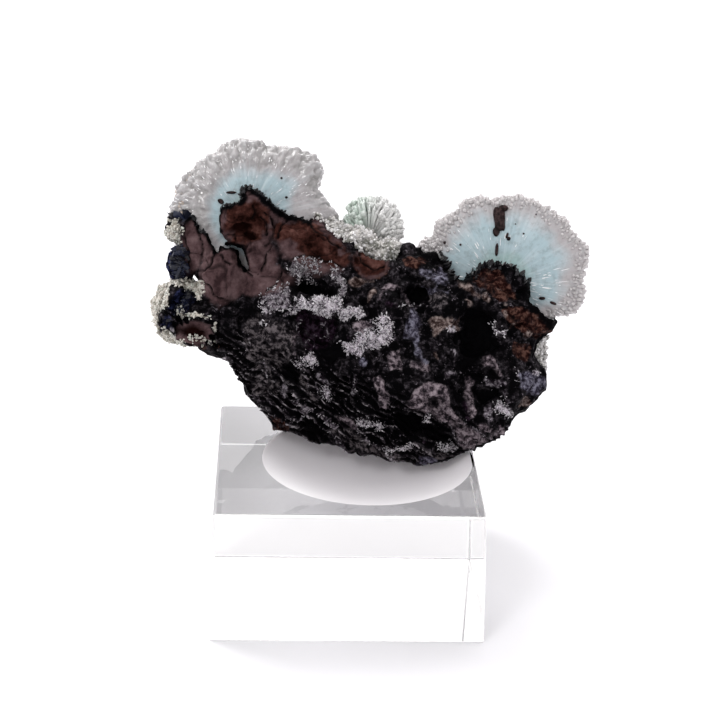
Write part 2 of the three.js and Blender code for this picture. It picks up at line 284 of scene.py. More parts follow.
def nearest_seed(points, size, seed=0):
    """The distance, in sizes, from each point to the nearest of one random point a cell."""
    spot = points / size
    cell = np.floor(spot).astype(np.int64)
    best = np.full(len(points), FAR)
    for step in np.ndindex(3, 3, 3):
        x, y, z = (cell + np.array(step) - 1).T
        jitter = np.stack([scramble(x, y, z, seed + k) for k in (11, 12, 13)], -1)
        gap = np.stack([x, y, z], -1) + jitter - spot
        best = np.minimum(best, np.sqrt((gap * gap).sum(-1)))
    return best


def ramp_up(values, low, high):
    """0 below low and 1 above high, with a smooth S between them."""
    t = np.clip((values - low) / (high - low), 0, 1)
    return t * t * (3 - 2 * t)


print("Noise at three places:", waves(np.eye(3) / 2, 1.0).round(3))

# %% [markdown]
# ## Crystals by the thousand
# A druse is thousands of crystals that point away from what they grew on. One crystal is
# written once, as rings of corners along its length, and numpy places every copy at its foot,
# along its own axis, with its own width, length and twist.

# %% Crystal shapes
POINTED = 0.35
TINY = 1e-9


def ringed(sides, stations, flat=1.0):
    """A closed crystal from rings: (height, half width) pairs, from the foot to the tip.
    Each ring is a polygon, squeezed to `flat` across, and the two ends are capped, the
    tip with a point that stands out by a share of the last half width."""
    angles = 2 * np.pi * (np.arange(sides) + 0.5) / sides
    circle = np.stack([np.cos(angles), flat * np.sin(angles)], -1)
    rings = [np.c_[circle * half, np.full(sides, high)] for high, half in stations]
    foot = [[0, 0, stations[0][0]]]
    tip = [[0, 0, stations[-1][0] + POINTED * stations[-1][1]]]
    return np.concatenate([foot, *rings, tip]), capped_faces(len(stations), sides)


BUD = ringed(7, [(-0.4, 0.4), (0.25, 0.5), (0.62, 0.48), (0.86, 0.34), (0.97, 0.16)])
COLUMN = ringed(8, [(0.0, 0.14), (0.55, 0.36), (0.84, 0.5), (0.95, 0.4), (0.99, 0.2)], flat=0.8)
GRAIN = ringed(5, [(-0.4, 0.42), (0.4, 0.5), (0.8, 0.34), (0.97, 0.12)], flat=0.85)
NEEDLE = ringed(4, [(-0.3, 0.5), (0.55, 0.44), (0.93, 0.16)])
BLADE = ringed(4, [(-0.2, 0.5), (0.55, 0.42), (0.95, 0.06)], flat=0.35)


def unit(values):
    """Vectors scaled to length 1."""
    return values / np.maximum(np.linalg.norm(values, axis=-1, keepdims=True), TINY)


def grow(shape, feet, axes, lengths, widths, rng):
    """All copies at once: foot + width * (x * side + y * across) + length * z * axis.
    The side is a random direction made square to the axis, which twists each copy."""
    template, groups = shape
    count = len(feet)
    loose = rng.normal(size=(count, 3))
    side = unit(np.cross(axes, loose))
    across = np.cross(axes, side)
    x, y, z = template.T
    wide = widths[:, None, None]
    tall = lengths[:, None, None]
    points = feet[:, None] + wide * (x[None, :, None] * side[:, None])
    points = points + wide * (y[None, :, None] * across[:, None])
    points = points + tall * (z[None, :, None] * axes[:, None])
    offsets = (np.arange(count) * len(template))[:, None, None]
    faces = [(g[None] + offsets).reshape(-1, g.shape[1]) for g in groups]
    return points.reshape(-1, 3), faces


def crystal_mesh(name, shape, feet, axes, lengths, widths, rng, smooth=True):
    """All copies of one crystal as one mesh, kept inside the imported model's box."""
    points, faces = grow(shape, feet, axes, lengths, widths, rng)
    return build_mesh(name, boxed(to_model(points)), faces, smooth)


def each(shape, values):
    """One value a crystal, repeated for all its corners."""
    return np.repeat(values, len(shape[0]))


def spread_on(mesh, spacing, rng, share=None):
    """Random places on a mesh, about one for each square of the spacing: a triangle is drawn
    by its area and a point by two weights. Gives points and normals in specimen terms, and
    drops places where a random number is above the share stored at the triangle."""
    mesh.calc_loop_triangles()
    triangles = np.empty(len(mesh.loop_triangles) * 3, np.int32)
    mesh.loop_triangles.foreach_get("vertices", triangles)
    triangles = triangles.reshape(-1, 3)
    points, normals = mesh_arrays(mesh)
    a, b, c = (points[triangles[:, k]] / MM for k in range(3))
    areas = 0.5 * np.linalg.norm(np.cross(b - a, c - a), axis=1)
    count = int(areas.sum() / spacing**2)
    pick = rng.choice(len(triangles), size=count, p=areas / areas.sum())
    u, v = rng.random((2, count, 1))
    over = u + v > 1
    u, v = np.where(over, 1 - u, u), np.where(over, 1 - v, v)
    places = a[pick] + u * (b - a)[pick] + v * (c - a)[pick]
    facing = unit(normals[triangles[pick]].mean(axis=1))
    if share is not None:
        kept = rng.random(count) < share[triangles[pick]].mean(axis=1)
        places, facing = places[kept], facing[kept]
    return to_specimen(places * MM), facing @ TURN


print("Triangles in a bud:", sum((g.shape[1] - 2) * len(g) for g in BUD[1]))

# %% [markdown]
# ## Materials
# Each finish is a tree of nodes round one Principled shader. A short helper adds a node and
# fills its sockets with values or links, so that a material reads from top to bottom.

# %% Node helpers
def node(tree, kind, inputs=None, **settings):
    """Adds a node, sets its properties, then fills each input with a value or a link."""
    made = tree.nodes.new(kind)
    for key, value in settings.items():
        setattr(made, key, value)
    for key, value in (inputs or {}).items():
        if isinstance(value, bpy.types.NodeSocket):
            tree.links.new(value, made.inputs[key])
        else:
            made.inputs[key].default_value = value
    return made


def stored(tree, name):
    """The number that the mesh keeps under a name."""
    return node(tree, "ShaderNodeAttribute", attribute_name=name).outputs["Fac"]


def maths(tree, operation, *values):
    """The result of a Math node, from numbers or links."""
    return node(tree, "ShaderNodeMath", dict(enumerate(values)), operation=operation).outputs[0]


def stretched(tree, value, low, high, start=0.0, end=1.0):
    """A value carried from the range low to high onto the range start to end."""
    return node(tree, "ShaderNodeMapRange", {
        "Value": value, "From Min": low, "From Max": high, "To Min": start, "To Max": end,
    }).outputs["Result"]


def mixed(tree, factor, first, second, blend="MIX"):
    """Two colours mixed by a factor."""
    made = node(tree, "ShaderNodeMix", {0: factor, 6: first, 7: second},
                data_type="RGBA", blend_type=blend)
    return made.outputs[2]


def ramp(tree, factor, *stops):
    """A colour ramp with stops of (place, grey or colour)."""
    made = node(tree, "ShaderNodeValToRGB", {"Fac": factor})
    elements = made.color_ramp.elements
    while len(elements) < len(stops):
        elements.new(1)
    for element, (place, colour) in zip(elements, stops):
        element.position = place
        plain = (colour,) * 3 if isinstance(colour, (int, float)) else colour
        element.color = (*plain, 1)
    return made.outputs["Color"]


def grains(tree, size, detail=3.0, rough=0.6):
    """Noise of a size in millimetres over the object's own coordinates."""
    place = node(tree, "ShaderNodeTexCoord").outputs["Object"]
    made = node(tree, "ShaderNodeTexNoise", {
        "Vector": place, "Scale": 1 / (size * MM), "Detail": detail, "Roughness": rough,
    })
    return made.outputs["Fac"]


def bumps(tree, height, distance, strength=1.0):
    """A bump from a height, in millimetres."""
    return node(tree, "ShaderNodeBump", {
        "Height": height, "Distance": distance * MM, "Strength": strength,
    }).outputs["Normal"]


def start_material(name, **values):
    """A material with its Principled shader, whose sockets get the plain values given."""
    material = bpy.data.materials.new(name)
    material.use_nodes = True
    shader = material.node_tree.nodes["Principled BSDF"]
    for key, value in values.items():
        shader.inputs[key.replace("_", " ")].default_value = value
    return material, material.node_tree, shader


def connect(tree, shader, **links):
    """Links outputs to the shader's named sockets."""
    for key, output in links.items():
        tree.links.new(output, shader.inputs[key.replace("_", " ")])


# %% [markdown]
# ## Floor, sky and lights
# The photograph is bright and soft: a white sweep, a large light above and behind, and only a
# faint blue shadow. A white world does most of it, two lamps above and behind the stone
# brighten the dish, and one in front on the left lifts the dark face.

# %% Studio
FLOOR = {"side": 3000, "gap": 0.05, "white": (0.86, 0.86, 0.88, 1), "rough": 0.6}
LAMPS = {
    "lamp_back_left": {"at": (-300, 260, 520), "size": 240, "power": 1.3},
    "lamp_back_right": {"at": (120, 420, 480), "size": 160, "power": 0.5},
    "lamp_front": {"at": (-260, -420, 460), "size": 160, "power": 1.0},
}
AIM = Vector((0, 5, 25)) * MM
SKY = {"front": 0.76, "back": 1.4, "from": -0.7, "to": 0.4, "white": (1.0, 0.98, 0.99, 1)}


def make_studio():
    """A floor and square lamps that face the stone."""
    half = FLOOR["side"] / 2 * MM
    corners = half * np.array([[-1, -1, 0], [1, -1, 0], [1, 1, 0], [-1, 1, 0]])
    corners[:, 2] = -FLOOR["gap"] * MM
    floor_mesh = build_mesh("floor", corners, [np.array([[0, 1, 2, 3]])], smooth=False)
    floor = bpy.data.objects.new("floor", floor_mesh)
    floor_mesh.materials.append(start_material(
        "floor_white", Base_Color=FLOOR["white"], Roughness=FLOOR["rough"])[0])
    add_to_scene(floor)
    for name, lamp in LAMPS.items():
        data = bpy.data.lights.new(name, "AREA")
        data.size = lamp["size"] * MM
        data.energy = lamp["power"]
        light = bpy.data.objects.new(name, data)
        light.location = Vector(lamp["at"]) * MM
        light.rotation_euler = (AIM - light.location).to_track_quat("-Z", "Y").to_euler()
        add_to_scene(light)


def make_sky():
    """A sky that is white behind and above the stone, and dim on the camera's side."""
    world = bpy.data.worlds.new("sky")
    world.use_nodes = True
    tree = world.node_tree
    way = node(tree, "ShaderNodeTexCoord").outputs["Generated"]
    behind = node(tree, "ShaderNodeSeparateXYZ", {"Vector": way}).outputs["Y"]
    strength = stretched(tree, behind, SKY["from"], SKY["to"], SKY["front"], SKY["back"])
    background = tree.nodes["Background"]
    background.inputs["Color"].default_value = SKY["white"]
    tree.links.new(strength, background.inputs["Strength"])
    bpy.context.scene.world = world
    bpy.context.scene.view_settings.view_transform = "Standard"


make_studio()
make_sky()
print("Lamps:", ", ".join(LAMPS))

# %% [markdown]
# ## The display block
# The block is moulded clear acrylic: a square slab, a little narrower at the top, with a
# shallow ball-shaped dish. It could be a bevelled box with a boolean cut, but a cut leaves
# messy shading where glass needs clean normals. So one profile runs from the middle of the
# base, round the bevels and into the dish, and each station is a ring that goes from a
# rounded square to a circle. Close rings beside each bevel keep the flat faces flat. The
# dish is ground, so its faces get a milky finish of their own.

# %% Block
BLOCK = {"width": 38.06, "height": 19.05, "draft": 0.55, "corner": 0.4, "first_ring": 6.0}
WALL_RINGS = (0.3, 0.6)
BEVEL = {"top": 0.4, "bottom": 0.2, "steps": 5, "support": 0.12}
DISH = {"x": 3.0, "rim": 15.0, "depth": 4.5, "lip": 0.5, "rings": 26}
PER_SIDE = 36
PER_CORNER = 6
ACRYLIC_INDEX = 1.49
FLAT = 0.98
BESIDE_DISH = {"clear": 0.6, "ground": 0.1}
# A grey tint on the back face only: painted shade that darkens the floor seen through it.
BACK_WALL_SHADE = (0.72, 0.715, 0.70)
MOULDED = 0.4


def square_ring():
    """Points round a square as two parts: where on the inner square, and which way out."""
    inner, outward = [], []
    run = np.linspace(-1, 1, PER_SIDE, endpoint=False)[1:]
    bend = np.radians(np.linspace(0, 90, PER_CORNER))
    for quarter in range(4):
        spin = np.array(Matrix.Rotation(math.radians(90 * quarter), 2))
        side = np.c_[run, np.full(len(run), -1.0)]
        corner = np.tile([1.0, -1.0], (PER_CORNER, 1))
        inner.append(np.concatenate([side, corner]) @ spin.T)
        square_out = np.tile([0.0, -1.0], (len(run), 1))
        round_out = np.c_[np.sin(bend), -np.cos(bend)]
        outward.append(np.concatenate([square_out, round_out]) @ spin.T)
    return np.concatenate(inner), np.concatenate(outward)


def block_profile():
    """Stations from the base to the dish: (inset from the side, height)."""
    top, low, near = BEVEL["top"], BEVEL["bottom"], BEVEL["support"]
    bend = np.linspace(0, np.pi / 2, BEVEL["steps"])
    high = BLOCK["height"]
    base = [(BLOCK["first_ring"], 0), (low + near, 0)]
    foot = [(low - low * np.sin(a), low - low * np.cos(a)) for a in bend]
    wall = [(0, low + near), *((0, high * share) for share in WALL_RINGS)]
    wall.append((0, high - top - near))
    brow = [(top - top * np.cos(a), high - top + top * np.sin(a)) for a in bend]
    return base + foot + wall + brow + [(top + near, high)]


def dish_profile():
    """Rings of the dish: (reach from its middle, height), round the lip and down the ball."""
    rim, depth, lip = DISH["rim"], DISH["depth"], DISH["lip"]
    ball = (rim**2 + depth**2) / (2 * depth)
    slope = math.asin(rim / ball)
    high = BLOCK["height"]
    middle = high - depth + ball
    bend = np.linspace(0, slope, BEVEL["steps"])
    edge = rim + lip * math.tan(slope / 2)
    rings = [(edge + BEVEL["support"], high)]
    rings += [(edge - lip * np.sin(a), high - lip + lip * np.cos(a)) for a in bend]
    steep = math.asin(rings[-1][0] / ball)
    for angle in np.linspace(steep, 0, DISH["rings"], endpoint=False)[1:]:
        rings.append((ball * math.sin(angle), middle - ball * math.cos(angle)))
    return rings


def block_points():
    """Square rings keep the square's points; dish rings point from the dish's middle to
    the same points, so the flat top between them stays flat."""
    inner, outward = square_ring()
    corner = BLOCK["corner"]
    rings = []
    for inset, height in block_profile():
        half = BLOCK["width"] / 2 - BLOCK["draft"] * height / BLOCK["height"] - inset
        rings.append(np.c_[(half - corner) * inner + corner * outward,
                           np.full(len(inner), height)])
    last = rings[-1]
    angle = np.arctan2(last[:, 1], last[:, 0] - DISH["x"])
    for reach, height in dish_profile():
        rings.append(np.c_[DISH["x"] + reach * np.cos(angle), reach * np.sin(angle),
                           np.full(len(inner), height)])
    foot = [[0, 0, 0]]
    pit = [[DISH["x"], 0, BLOCK["height"] - DISH["depth"]]]
    faces = capped_faces(len(rings), len(inner))
    return np.concatenate([foot, *rings, pit]) * MM, faces


def acrylic():
    """Clear acrylic: plain transmission at its refractive index. The moulded edges are
    soft, and the back wall is tinted grey, a painted shade that darkens the floor seen through
    it. Both are stored masks."""
    material, tree, shader = start_material(
        "clear_acrylic", IOR=ACRYLIC_INDEX, Transmission_Weight=1.0)
    rough = ramp(tree, stored(tree, "edge"), (0.0, 0.0), (1.0, MOULDED))
    # The back wall's grey tint is painted shade.
    tone = ramp(tree, stored(tree, "wall"), (0.0, 1.0), (1.0, BACK_WALL_SHADE))
    connect(tree, shader, Roughness=rough, Base_Color=tone)
    return material


def satin():
    """The ground dish: still a little see-through, but milky, with a faint lilac cast and
    the soft sheen that a ground face has along its surface."""
    return start_material("satin_acrylic", Base_Color=(0.99, 0.95, 0.985, 1),
                          IOR=ACRYLIC_INDEX, Roughness=0.35, Transmission_Weight=0.12,
                          Sheen_Weight=1.0, Sheen_Roughness=0.5)[0]


block_mesh = build_mesh("clear_block", *block_points())
block_spots, block_facing = mesh_arrays(block_mesh)
block_spots = block_spots / MM
block_reach = np.hypot(block_spots[:, 0] - DISH["x"], block_spots[:, 1]) - DISH["rim"]
on_edge = (np.abs(block_facing).max(axis=1) < FLAT) & (block_reach > BESIDE_DISH["clear"])
raised = block_spots[:, 2] > BLOCK["height"] - DISH["depth"] - DISH["lip"]
in_dish = (block_reach < BESIDE_DISH["ground"]) & raised
give(block_mesh, edge=on_edge, wall=block_facing[:, 1] > FLAT)
block = make_piece("clear_block", block_mesh, acrylic(), "clear_acrylic", "display_block")
block_mesh.materials.append(satin())
block_mesh.polygons.foreach_set("material_index", [
    int(all(in_dish[corner] for corner in face.vertices)) for face in block_mesh.polygons])
print("Block size in mm:", [round(d / MM, 2) for d in block.dimensions])

# %% [markdown]
# ## Where the sprays show through
# The rock stands in front of the sprays and ends there in a ragged black edge. The edge is
# drawn as a line seen from the front. Beyond it the rock is pushed back until it lies inside
# the spray, which leaves the spray's face open to view, windows between the casts too.

# %% Openings
AWAY = 283.0
PLANE = 0.985
TORN = {"by": 0.22, "size": 0.9, "edge": (-0.05, 0.3)}
TRIM = {"most": 0.9, "less": 0.25, "size": 1.5}
RIM = {"most": 1.15, "rough": 0.5, "size": 0.9, "soft": 0.3}
LEFT_EDGE = [(-27.5, 19.4), (-26.0, 18.0), (-25.2, 16.3), (-24.2, 16.0), (-23.5, 14.3),
             (-22.9, 13.1), (-22.4, 13.4), (-22.1, 14.6), (-22.3, 16.4), (-22.4, 18.5),
             (-22.0, 19.8), (-20.5, 20.1), (-19.4, 20.5), (-19.3, 22.4), (-18.5, 22.7),
             (-17.2, 22.2), (-15.9, 21.2), (-14.5, 19.9), (-12.6, 18.7), (-11.0, 18.5),
             (-9.6, 18.0)]
RIGHT_EDGE = [(6.5, 13.2), (8.6, 13.4), (9.1, 13.0), (9.9, 12.3), (10.4, 11.8), (10.8, 10.5),
              (11.6, 9.6), (13.0, 9.2), (13.5, 9.9), (14.7, 11.1), (15.6, 11.5), (17.8, 11.8),
              (19.2, 11.3), (20.6, 10.5), (21.4, 9.9), (22.1, 8.6), (22.2, 6.2), (23.6, 5.0),
              (25.0, 3.6)]
CRESCENT = [(-22.2, 14.5), (-20.8, 14.6), (-19.2, 14.2), (-18.5, 12.6), (-18.1, 10.7),
            (-18.7, 10.6), (-19.6, 11.9), (-20.0, 13.4), (-20.9, 13.9), (-22.1, 13.8)]
OPENINGS = [
    {"around": [*LEFT_EDGE, (-9.0, 30.0), (-31.0, 30.0), (-29.0, 21.0)], "behind": 0.3},
    {"around": [*RIGHT_EDGE, (31.0, 3.0), (31.0, 24.0), (6.0, 24.0)], "behind": 1.0},
    {"around": CRESCENT, "behind": 0.3},
]
OUTLINE = [
    (-60.0, 40.0), (60.0, 40.0), (60.0, 5.0), (27.0, 4.6),
    (25.7, 2.6), (25.4, 1.9), (24.1, 1.3), (23.0, 0.9), (22.7, -0.4), (22.2, -2.6),
    (22.8, -3.1), (24.1, -3.4), (24.6, -4.2), (24.4, -6.1), (22.8, -7.7), (21.6, -9.2),
    (20.6, -9.5), (19.6, -10.3), (19.2, -12.2), (18.7, -13.0), (17.4, -13.5), (14.5, -14.3),
    (13.5, -14.9), (12.3, -15.1), (11.0, -15.9), (9.4, -16.6), (7.8, -17.0), (6.1, -17.3),
    (4.2, -16.5), (2.1, -16.7), (0.8, -16.1), (-0.4, -15.4), (-2.1, -15.9), (-3.8, -15.5),
    (-5.1, -14.3), (-8.1, -14.0), (-9.8, -13.6), (-11.9, -12.5), (-14.5, -12.1),
    (-14.9, -10.6), (-16.4, -9.3), (-17.9, -7.8), (-18.7, -5.3), (-19.8, -4.2), (-21.0, -2.7),
    (-20.5, -1.1), (-22.4, -2.1), (-24.4, -1.5), (-26.8, 0.1),
    (-29.0, 0.8), (-30.4, 1.8), (-31.0, 3.2), (-30.4, 5.2), (-29.7, 7.2), (-29.2, 8.8),
    (-29.6, 10.4), (-60.0, 10.5),
]
EDGES = [(LEFT_EDGE[5:11], 0.3), (LEFT_EDGE[10:13], 0.6), (LEFT_EDGE[12:], 0.85),
         (LEFT_EDGE[:6], 0.35), (CRESCENT, 0.25), (RIGHT_EDGE[:8], 0.8), (RIGHT_EDGE[7:], 0.9)]


def seen(points):
    """Where the camera sees each point, as millimetres on the upright plane of the stone's
    front face: things further back shrink towards the middle of the picture."""
    return points[:, [0, 2]] * PLANE / (1 + points[:, 1:2] / AWAY)


def nearest_on(flat, line):
    """The distance from each point of a plane to a line through given places, and the
    nearest point: each stretch's nearest is found by its share along the stretch."""
    best = np.full(len(flat), np.inf)
    spots = np.zeros_like(flat)
    for start, end in zip(np.array(line[:-1]), np.array(line[1:])):
        way = end - start
        share = np.clip((flat - start) @ way / (way @ way), 0, 1)
        spot = start + share[:, None] * way
        away = np.linalg.norm(flat - spot, axis=1)
        spots[away < best] = spot[away < best]
        best = np.minimum(best, away)
    return best, spots


def from_line(points, line):
    """The distance, as the camera sees it, from each point to a line."""
    return nearest_on(seen(points), line)[0]


def inside(flat, polygon):
    """Whether each point of the plane is inside a polygon: a line to the right from it
    crosses the polygon's sides an odd number of times."""
    x, z = flat.T
    odd = np.zeros(len(flat), bool)
    for (x0, z0), (x1, z1) in zip(polygon, [*polygon[1:], polygon[0]]):
        spans = (z0 > z) != (z1 > z)
        odd ^= spans & (x < x0 + (z - z0) * (x1 - x0) / (z1 - z0 + TINY))
    return odd


def within(points, polygon):
    """Whether each point, seen from the front, is inside a polygon."""
    return inside(seen(points), polygon)


def open_up(points):
    """Pushes the rock back in every opening, over a ragged edge a third of a millimetre
    wide, and tells how far each point is inside one."""
    most = np.zeros(len(points))
    points = points.copy()
    for number, gap in enumerate(OPENINGS):
        around = gap["around"]
        away = from_line(points, [*around, around[0]])
        away = np.where(within(points, around), away, -away)
        away = away + TORN["by"] * layers(points, TORN["size"], 2, 81 + number)
        open_here = ramp_up(away, *TORN["edge"])
        behind = np.maximum(points[:, 1], gap["behind"])
        points[:, 1] += open_here * (behind - points[:, 1])
        most = np.maximum(most, open_here)
    return points, most


def trim(points):
    """Brings whatever shows outside the rock's outline most of the way in to it."""
    outside = ~within(points, OUTLINE)
    flat = seen(points[outside])
    away, spots = nearest_on(flat, OUTLINE)
    scale = (1 + points[outside, 1:2] / AWAY) / PLANE
    uneven = ramp_up(layers(points[outside], TRIM["size"], 2, 87), -0.5, 0.5)
    share = (TRIM["most"] - TRIM["less"] * uneven)[:, None]
    points = points.copy()
    points[outside] += share * (spots - flat)[:, [0, 0, 1]] * scale * np.array([1, 0, 1])
    return points


def black_edges(points):
    """1 on the black rims beside the openings, each with its own width."""
    rough = RIM["rough"] * layers(points, RIM["size"], 3, 85)
    total = np.zeros(len(points))
    for line, wide in EDGES:
        inwards = RIM["most"] + rough - from_line(points, line) / wide
        total = np.maximum(total, ramp_up(inwards, 0, RIM["soft"]))
    return total


print("Points of the two edges:", len(LEFT_EDGE), len(RIGHT_EDGE))

# %% [markdown]
# ## Where each thing shows on the rock
# The dark matrix is one broken mass, yet its face changes every few millimetres: white and
# lilac druse, a mauve flow, beige skins, slate-blue lumps, rusty ledges, violet bubbles and
# black hollows, whose black is painted shade. Each field is an outline drawn from the front,
# as x and z in turn.

# %% Fields on the rock's face
FIELDS = {}
FIELDS["white"] = [
    [-11.2, 6.5, -10.3, 6.9, -9.6, 6, -8.9, 6.9, -7.7, 6.9, -6.5, 6.3, -5.9, 6.6, -5, 6.5, -4.9,
     5.6, -3.9, 5.2, -2.4, 5.2, -1.4, 4, -2.2, 3.6, -3.3, 4.2, -4.2, 3.3, -4.9, 3.4, -5.5, 4.7,
     -6.5, 4.7, -6.6, 4, -7.6, 4.3, -8.5, 5, -9.6, 5.5, -10.8, 5.5],
    [-4.9, 0.6, -4.2, 0.4, -3.3, 0.1, -2.9, 1.1, -2.6, 1.7, -1.7, 1.7, -1.4, 2.6, -0.7, 2.2, -0.1,
     2.3, 0.3, 1.7, 0.7, 2.6, 0.6, 3.6, 1, 4.2, 1.7, 3.9, 2.3, 3.2, 2.4, 1.9, 2.3, 0.7, 1.7, 0.1,
     0.9, -0.1, 0.4, -0.9, -0.7, -0.7, -1.6, -1, -2.3, -1.9, -3, -1.1, -3.9, -1.3, -4.4, -0.6],
    [-10.3, -1.7, -9.3, -1.4, -8.5, -1.9, -8.2, -3, -8.9, -3.3, -9.6, -2.4, -10.5, -2.3],
    [-11.9, -2.2, -11, -2.2, -9.9, -2.9, -10.5, -3.3, -11.3, -3.2],
    [-7.6, -6.2, -6.7, -6.2, -6.5, -7.3, -6.7, -8, -7.5, -7.5],
    [-2.7, -10.8, -1.7, -10.5, -0.7, -10.9, 0.4, -11.3, 1.1, -11.9, 0.4, -12.3, -0.4, -11.6, -1.3,
     -11.9, -2.2, -11.6],
    [16.9, -8.3, 17.5, -7.9, 18.4, -8.6, 19.1, -9, 19.4, -9.9, 18.7, -10.2, 18.2, -9.5, 17.5, -9.3,
     16.9, -9],
    [15.2, -3.7, 15.8, -3.7, 16.5, -4.7, 16.2, -5.3, 15.5, -4.6],
    [19.7, -3.2, 20.4, -3.3, 20.4, -4.7, 19.8, -5.2],
    [-17.4, 6.2, -16.8, 6.3, -15.8, 5.2, -14.8, 4.4, -15.4, 4.3, -16.5, 5.2],
    [16.4, 2.9, 17.2, 3.4, 17.9, 2.4, 18.4, 1.7, 17.6, 1.6, 17.1, 2.2],
    [10.2, 2.4, 11, 2.6, 11.3, 1.9, 10.8, 1.4, 10.2, 1.7],
    [-16.4, 3.4, -15.4, 3.6, -15.4, 3, -16.4, 2.9],
    [-9.5, 9.5, -8.5, 9.6, -8.5, 8.9, -9.3, 8.9],
    [0, 3.4, 0.6, 3.4, 0.6, 2.3, -0.1, 2.4],
    [22.1, -3.7, 23.4, -3.6, 23.2, -4.3, 22.2, -4.4],
    [6.9, -10.5, 7.7, -10.3, 7.7, -11, 7, -11.2],
    [8.8, -14.3, 10.2, -14.1, 11.5, -14.6, 11, -15.1, 9.3, -14.9],
    [1.6, -14.8, 3.3, -14.5, 5.3, -13.8, 5, -14.5, 3.3, -15.1, 1.9, -15.4],
]
FIELDS["lilac"] = [
    [-12.3, 11, -11.8, 12.1, -10.8, 12.6, -9.6, 12.5, -8.2, 12.5, -7.6, 11.9, -7.9, 10.5, -8.8,
     9.6, -9.9, 9.3, -10.8, 9.9, -11, 8.5, -11.9, 8.8],
    [-7, 11.9, -5.9, 11.6, -5, 10.5, -4.3, 9.3, -4.2, 7.6, -4.4, 6.7, -5.3, 6.7, -5.2, 8.2, -6.2,
     9, -6.7, 9.6, -6.5, 11],
    [-16.2, 7.2, -15.4, 8.3, -14.2, 9.2, -12.5, 8.6, -11.9, 7.2, -12.2, 5.6, -13.3, 4.7, -14.8,
     4.2, -16.2, 5.3],
    [-8.5, -3.9, -7.3, -4.4, -6.3, -5.5, -6.6, -6, -7.6, -5.6, -8.6, -4.6],
    [-13.9, -6.2, -13.2, -5.6, -12.2, -6.5, -12.2, -7.6, -13.1, -7.9, -13.8, -7.2],
    [-3.6, -4.7, -2.7, -3.6, -2.3, -4.2, -2.4, -5.6, -2.2, -7, -3.3, -7.6, -3.9, -7, -3.3, -5.9],
    [15.4, -9, 16.5, -8.8, 16.9, -9.6, 16.8, -10.5, 17.5, -11.3, 16.5, -11.3, 15.6, -10.5, 15.2,
     -9.6],
    [15.5, -4.7, 16.8, -4.6, 18.2, -4.7, 18.9, -5.3, 18.7, -6.2, 17.4, -6.5, 16.2, -6.2],
    [-13.6, 4.2, -12.5, 5.2, -11.3, 5.6, -11.2, 5, -12.2, 4.4, -13.1, 3.7],
    [-11.3, -7.9, -9.9, -8.9, -8.2, -9.5, -7.2, -9.2, -7.3, -9.8, -8.8, -10, -10.5, -9.5],
    [9.9, -4.2, 10.8, -3.6, 11.9, -3.9, 11.5, -4.7, 10.2, -4.7],
]
FIELDS["mauve"] = [
    [3.9, -8.2, 4.7, -7.2, 5.3, -6.2, 6.5, -5.7, 7.3, -5.3, 8.2, -5.7, 9, -5.6, 10.2, -5.9, 10.8,
     -7, 10.8, -8.2, 11.3, -9.3, 12.2, -10.2, 13.3, -11, 14.2, -11.9, 15.4, -12.5, 16.5, -13.1,
     17.6, -13.3, 16.2, -13.6, 14.8, -14.1, 14.1, -15.1, 12.5, -14.8, 11.6, -13.6, 11, -12.5, 10.2,
     -11.9, 9.3, -11, 7.9, -10, 6.5, -9.3, 5, -8.9],
    [12.5, -4.3, 13.6, -4.2, 14.5, -5, 13.6, -6.2, 13.9, -7.6, 14.5, -9.3, 13.9, -10.8, 13.1, -9.9,
     12.8, -8.2, 12.5, -6.5],
    [14.2, -11.3, 15.6, -11, 16.8, -11.6, 17.9, -11.3, 18.8, -11.9, 18.5, -12.9, 17.1, -13.2, 15.6,
     -12.8, 14.8, -12.2],
    [15.5, -1.7, 16.5, -1.3, 17.1, -2.2, 17.9, -3.3, 18.4, -4.7, 17.6, -4.6, 17.2, -3.6, 16.2, -3,
     15.4, -3.3],
    [-12.2, 3.3, -11.6, 3.3, -11.8, 1.9, -11.2, 0.4, -11.3, -0.7, -10.5, -1.4, -11.3, -1.7, -12.2,
     -0.7, -12.1, 1],
    [-6.5, -9.6, -5, -9.8, -3.3, -10.8, -2.7, -11.6, -4.2, -11.6, -5.6, -10.8],
    [0.7, 7.9, 1.9, 8.6, 3.3, 8.8, 4.2, 7.6, 5, 6, 5.6, 4.7, 4.7, 4.7, 3.9, 6.5, 3, 7.7, 1.9, 7.6,
     1.3, 6.5, 0.4, 5.9],
    [1.3, -1, 3.6, -0.7, 3.9, -3.9, 2.2, -3.9, 1.3, -2.4],
    [-0.7, -4.7, 1, -4.2, 1.9, -6.2, 2.4, -7.3, 1.9, -8.8, 0.4, -9, 0.1, -7.3, -0.4, -6.2],
    [5, -2.2, 6.7, -2.4, 7.9, -3, 8.2, -3.9, 6.5, -4.2, 4.7, -3.6],
    [-3.3, 3.2, -2.2, 3.6, -1, 3.3, -0.7, 2.4, -1.6, 1.9, -2.7, 1.6, -3.6, 2.2],
]
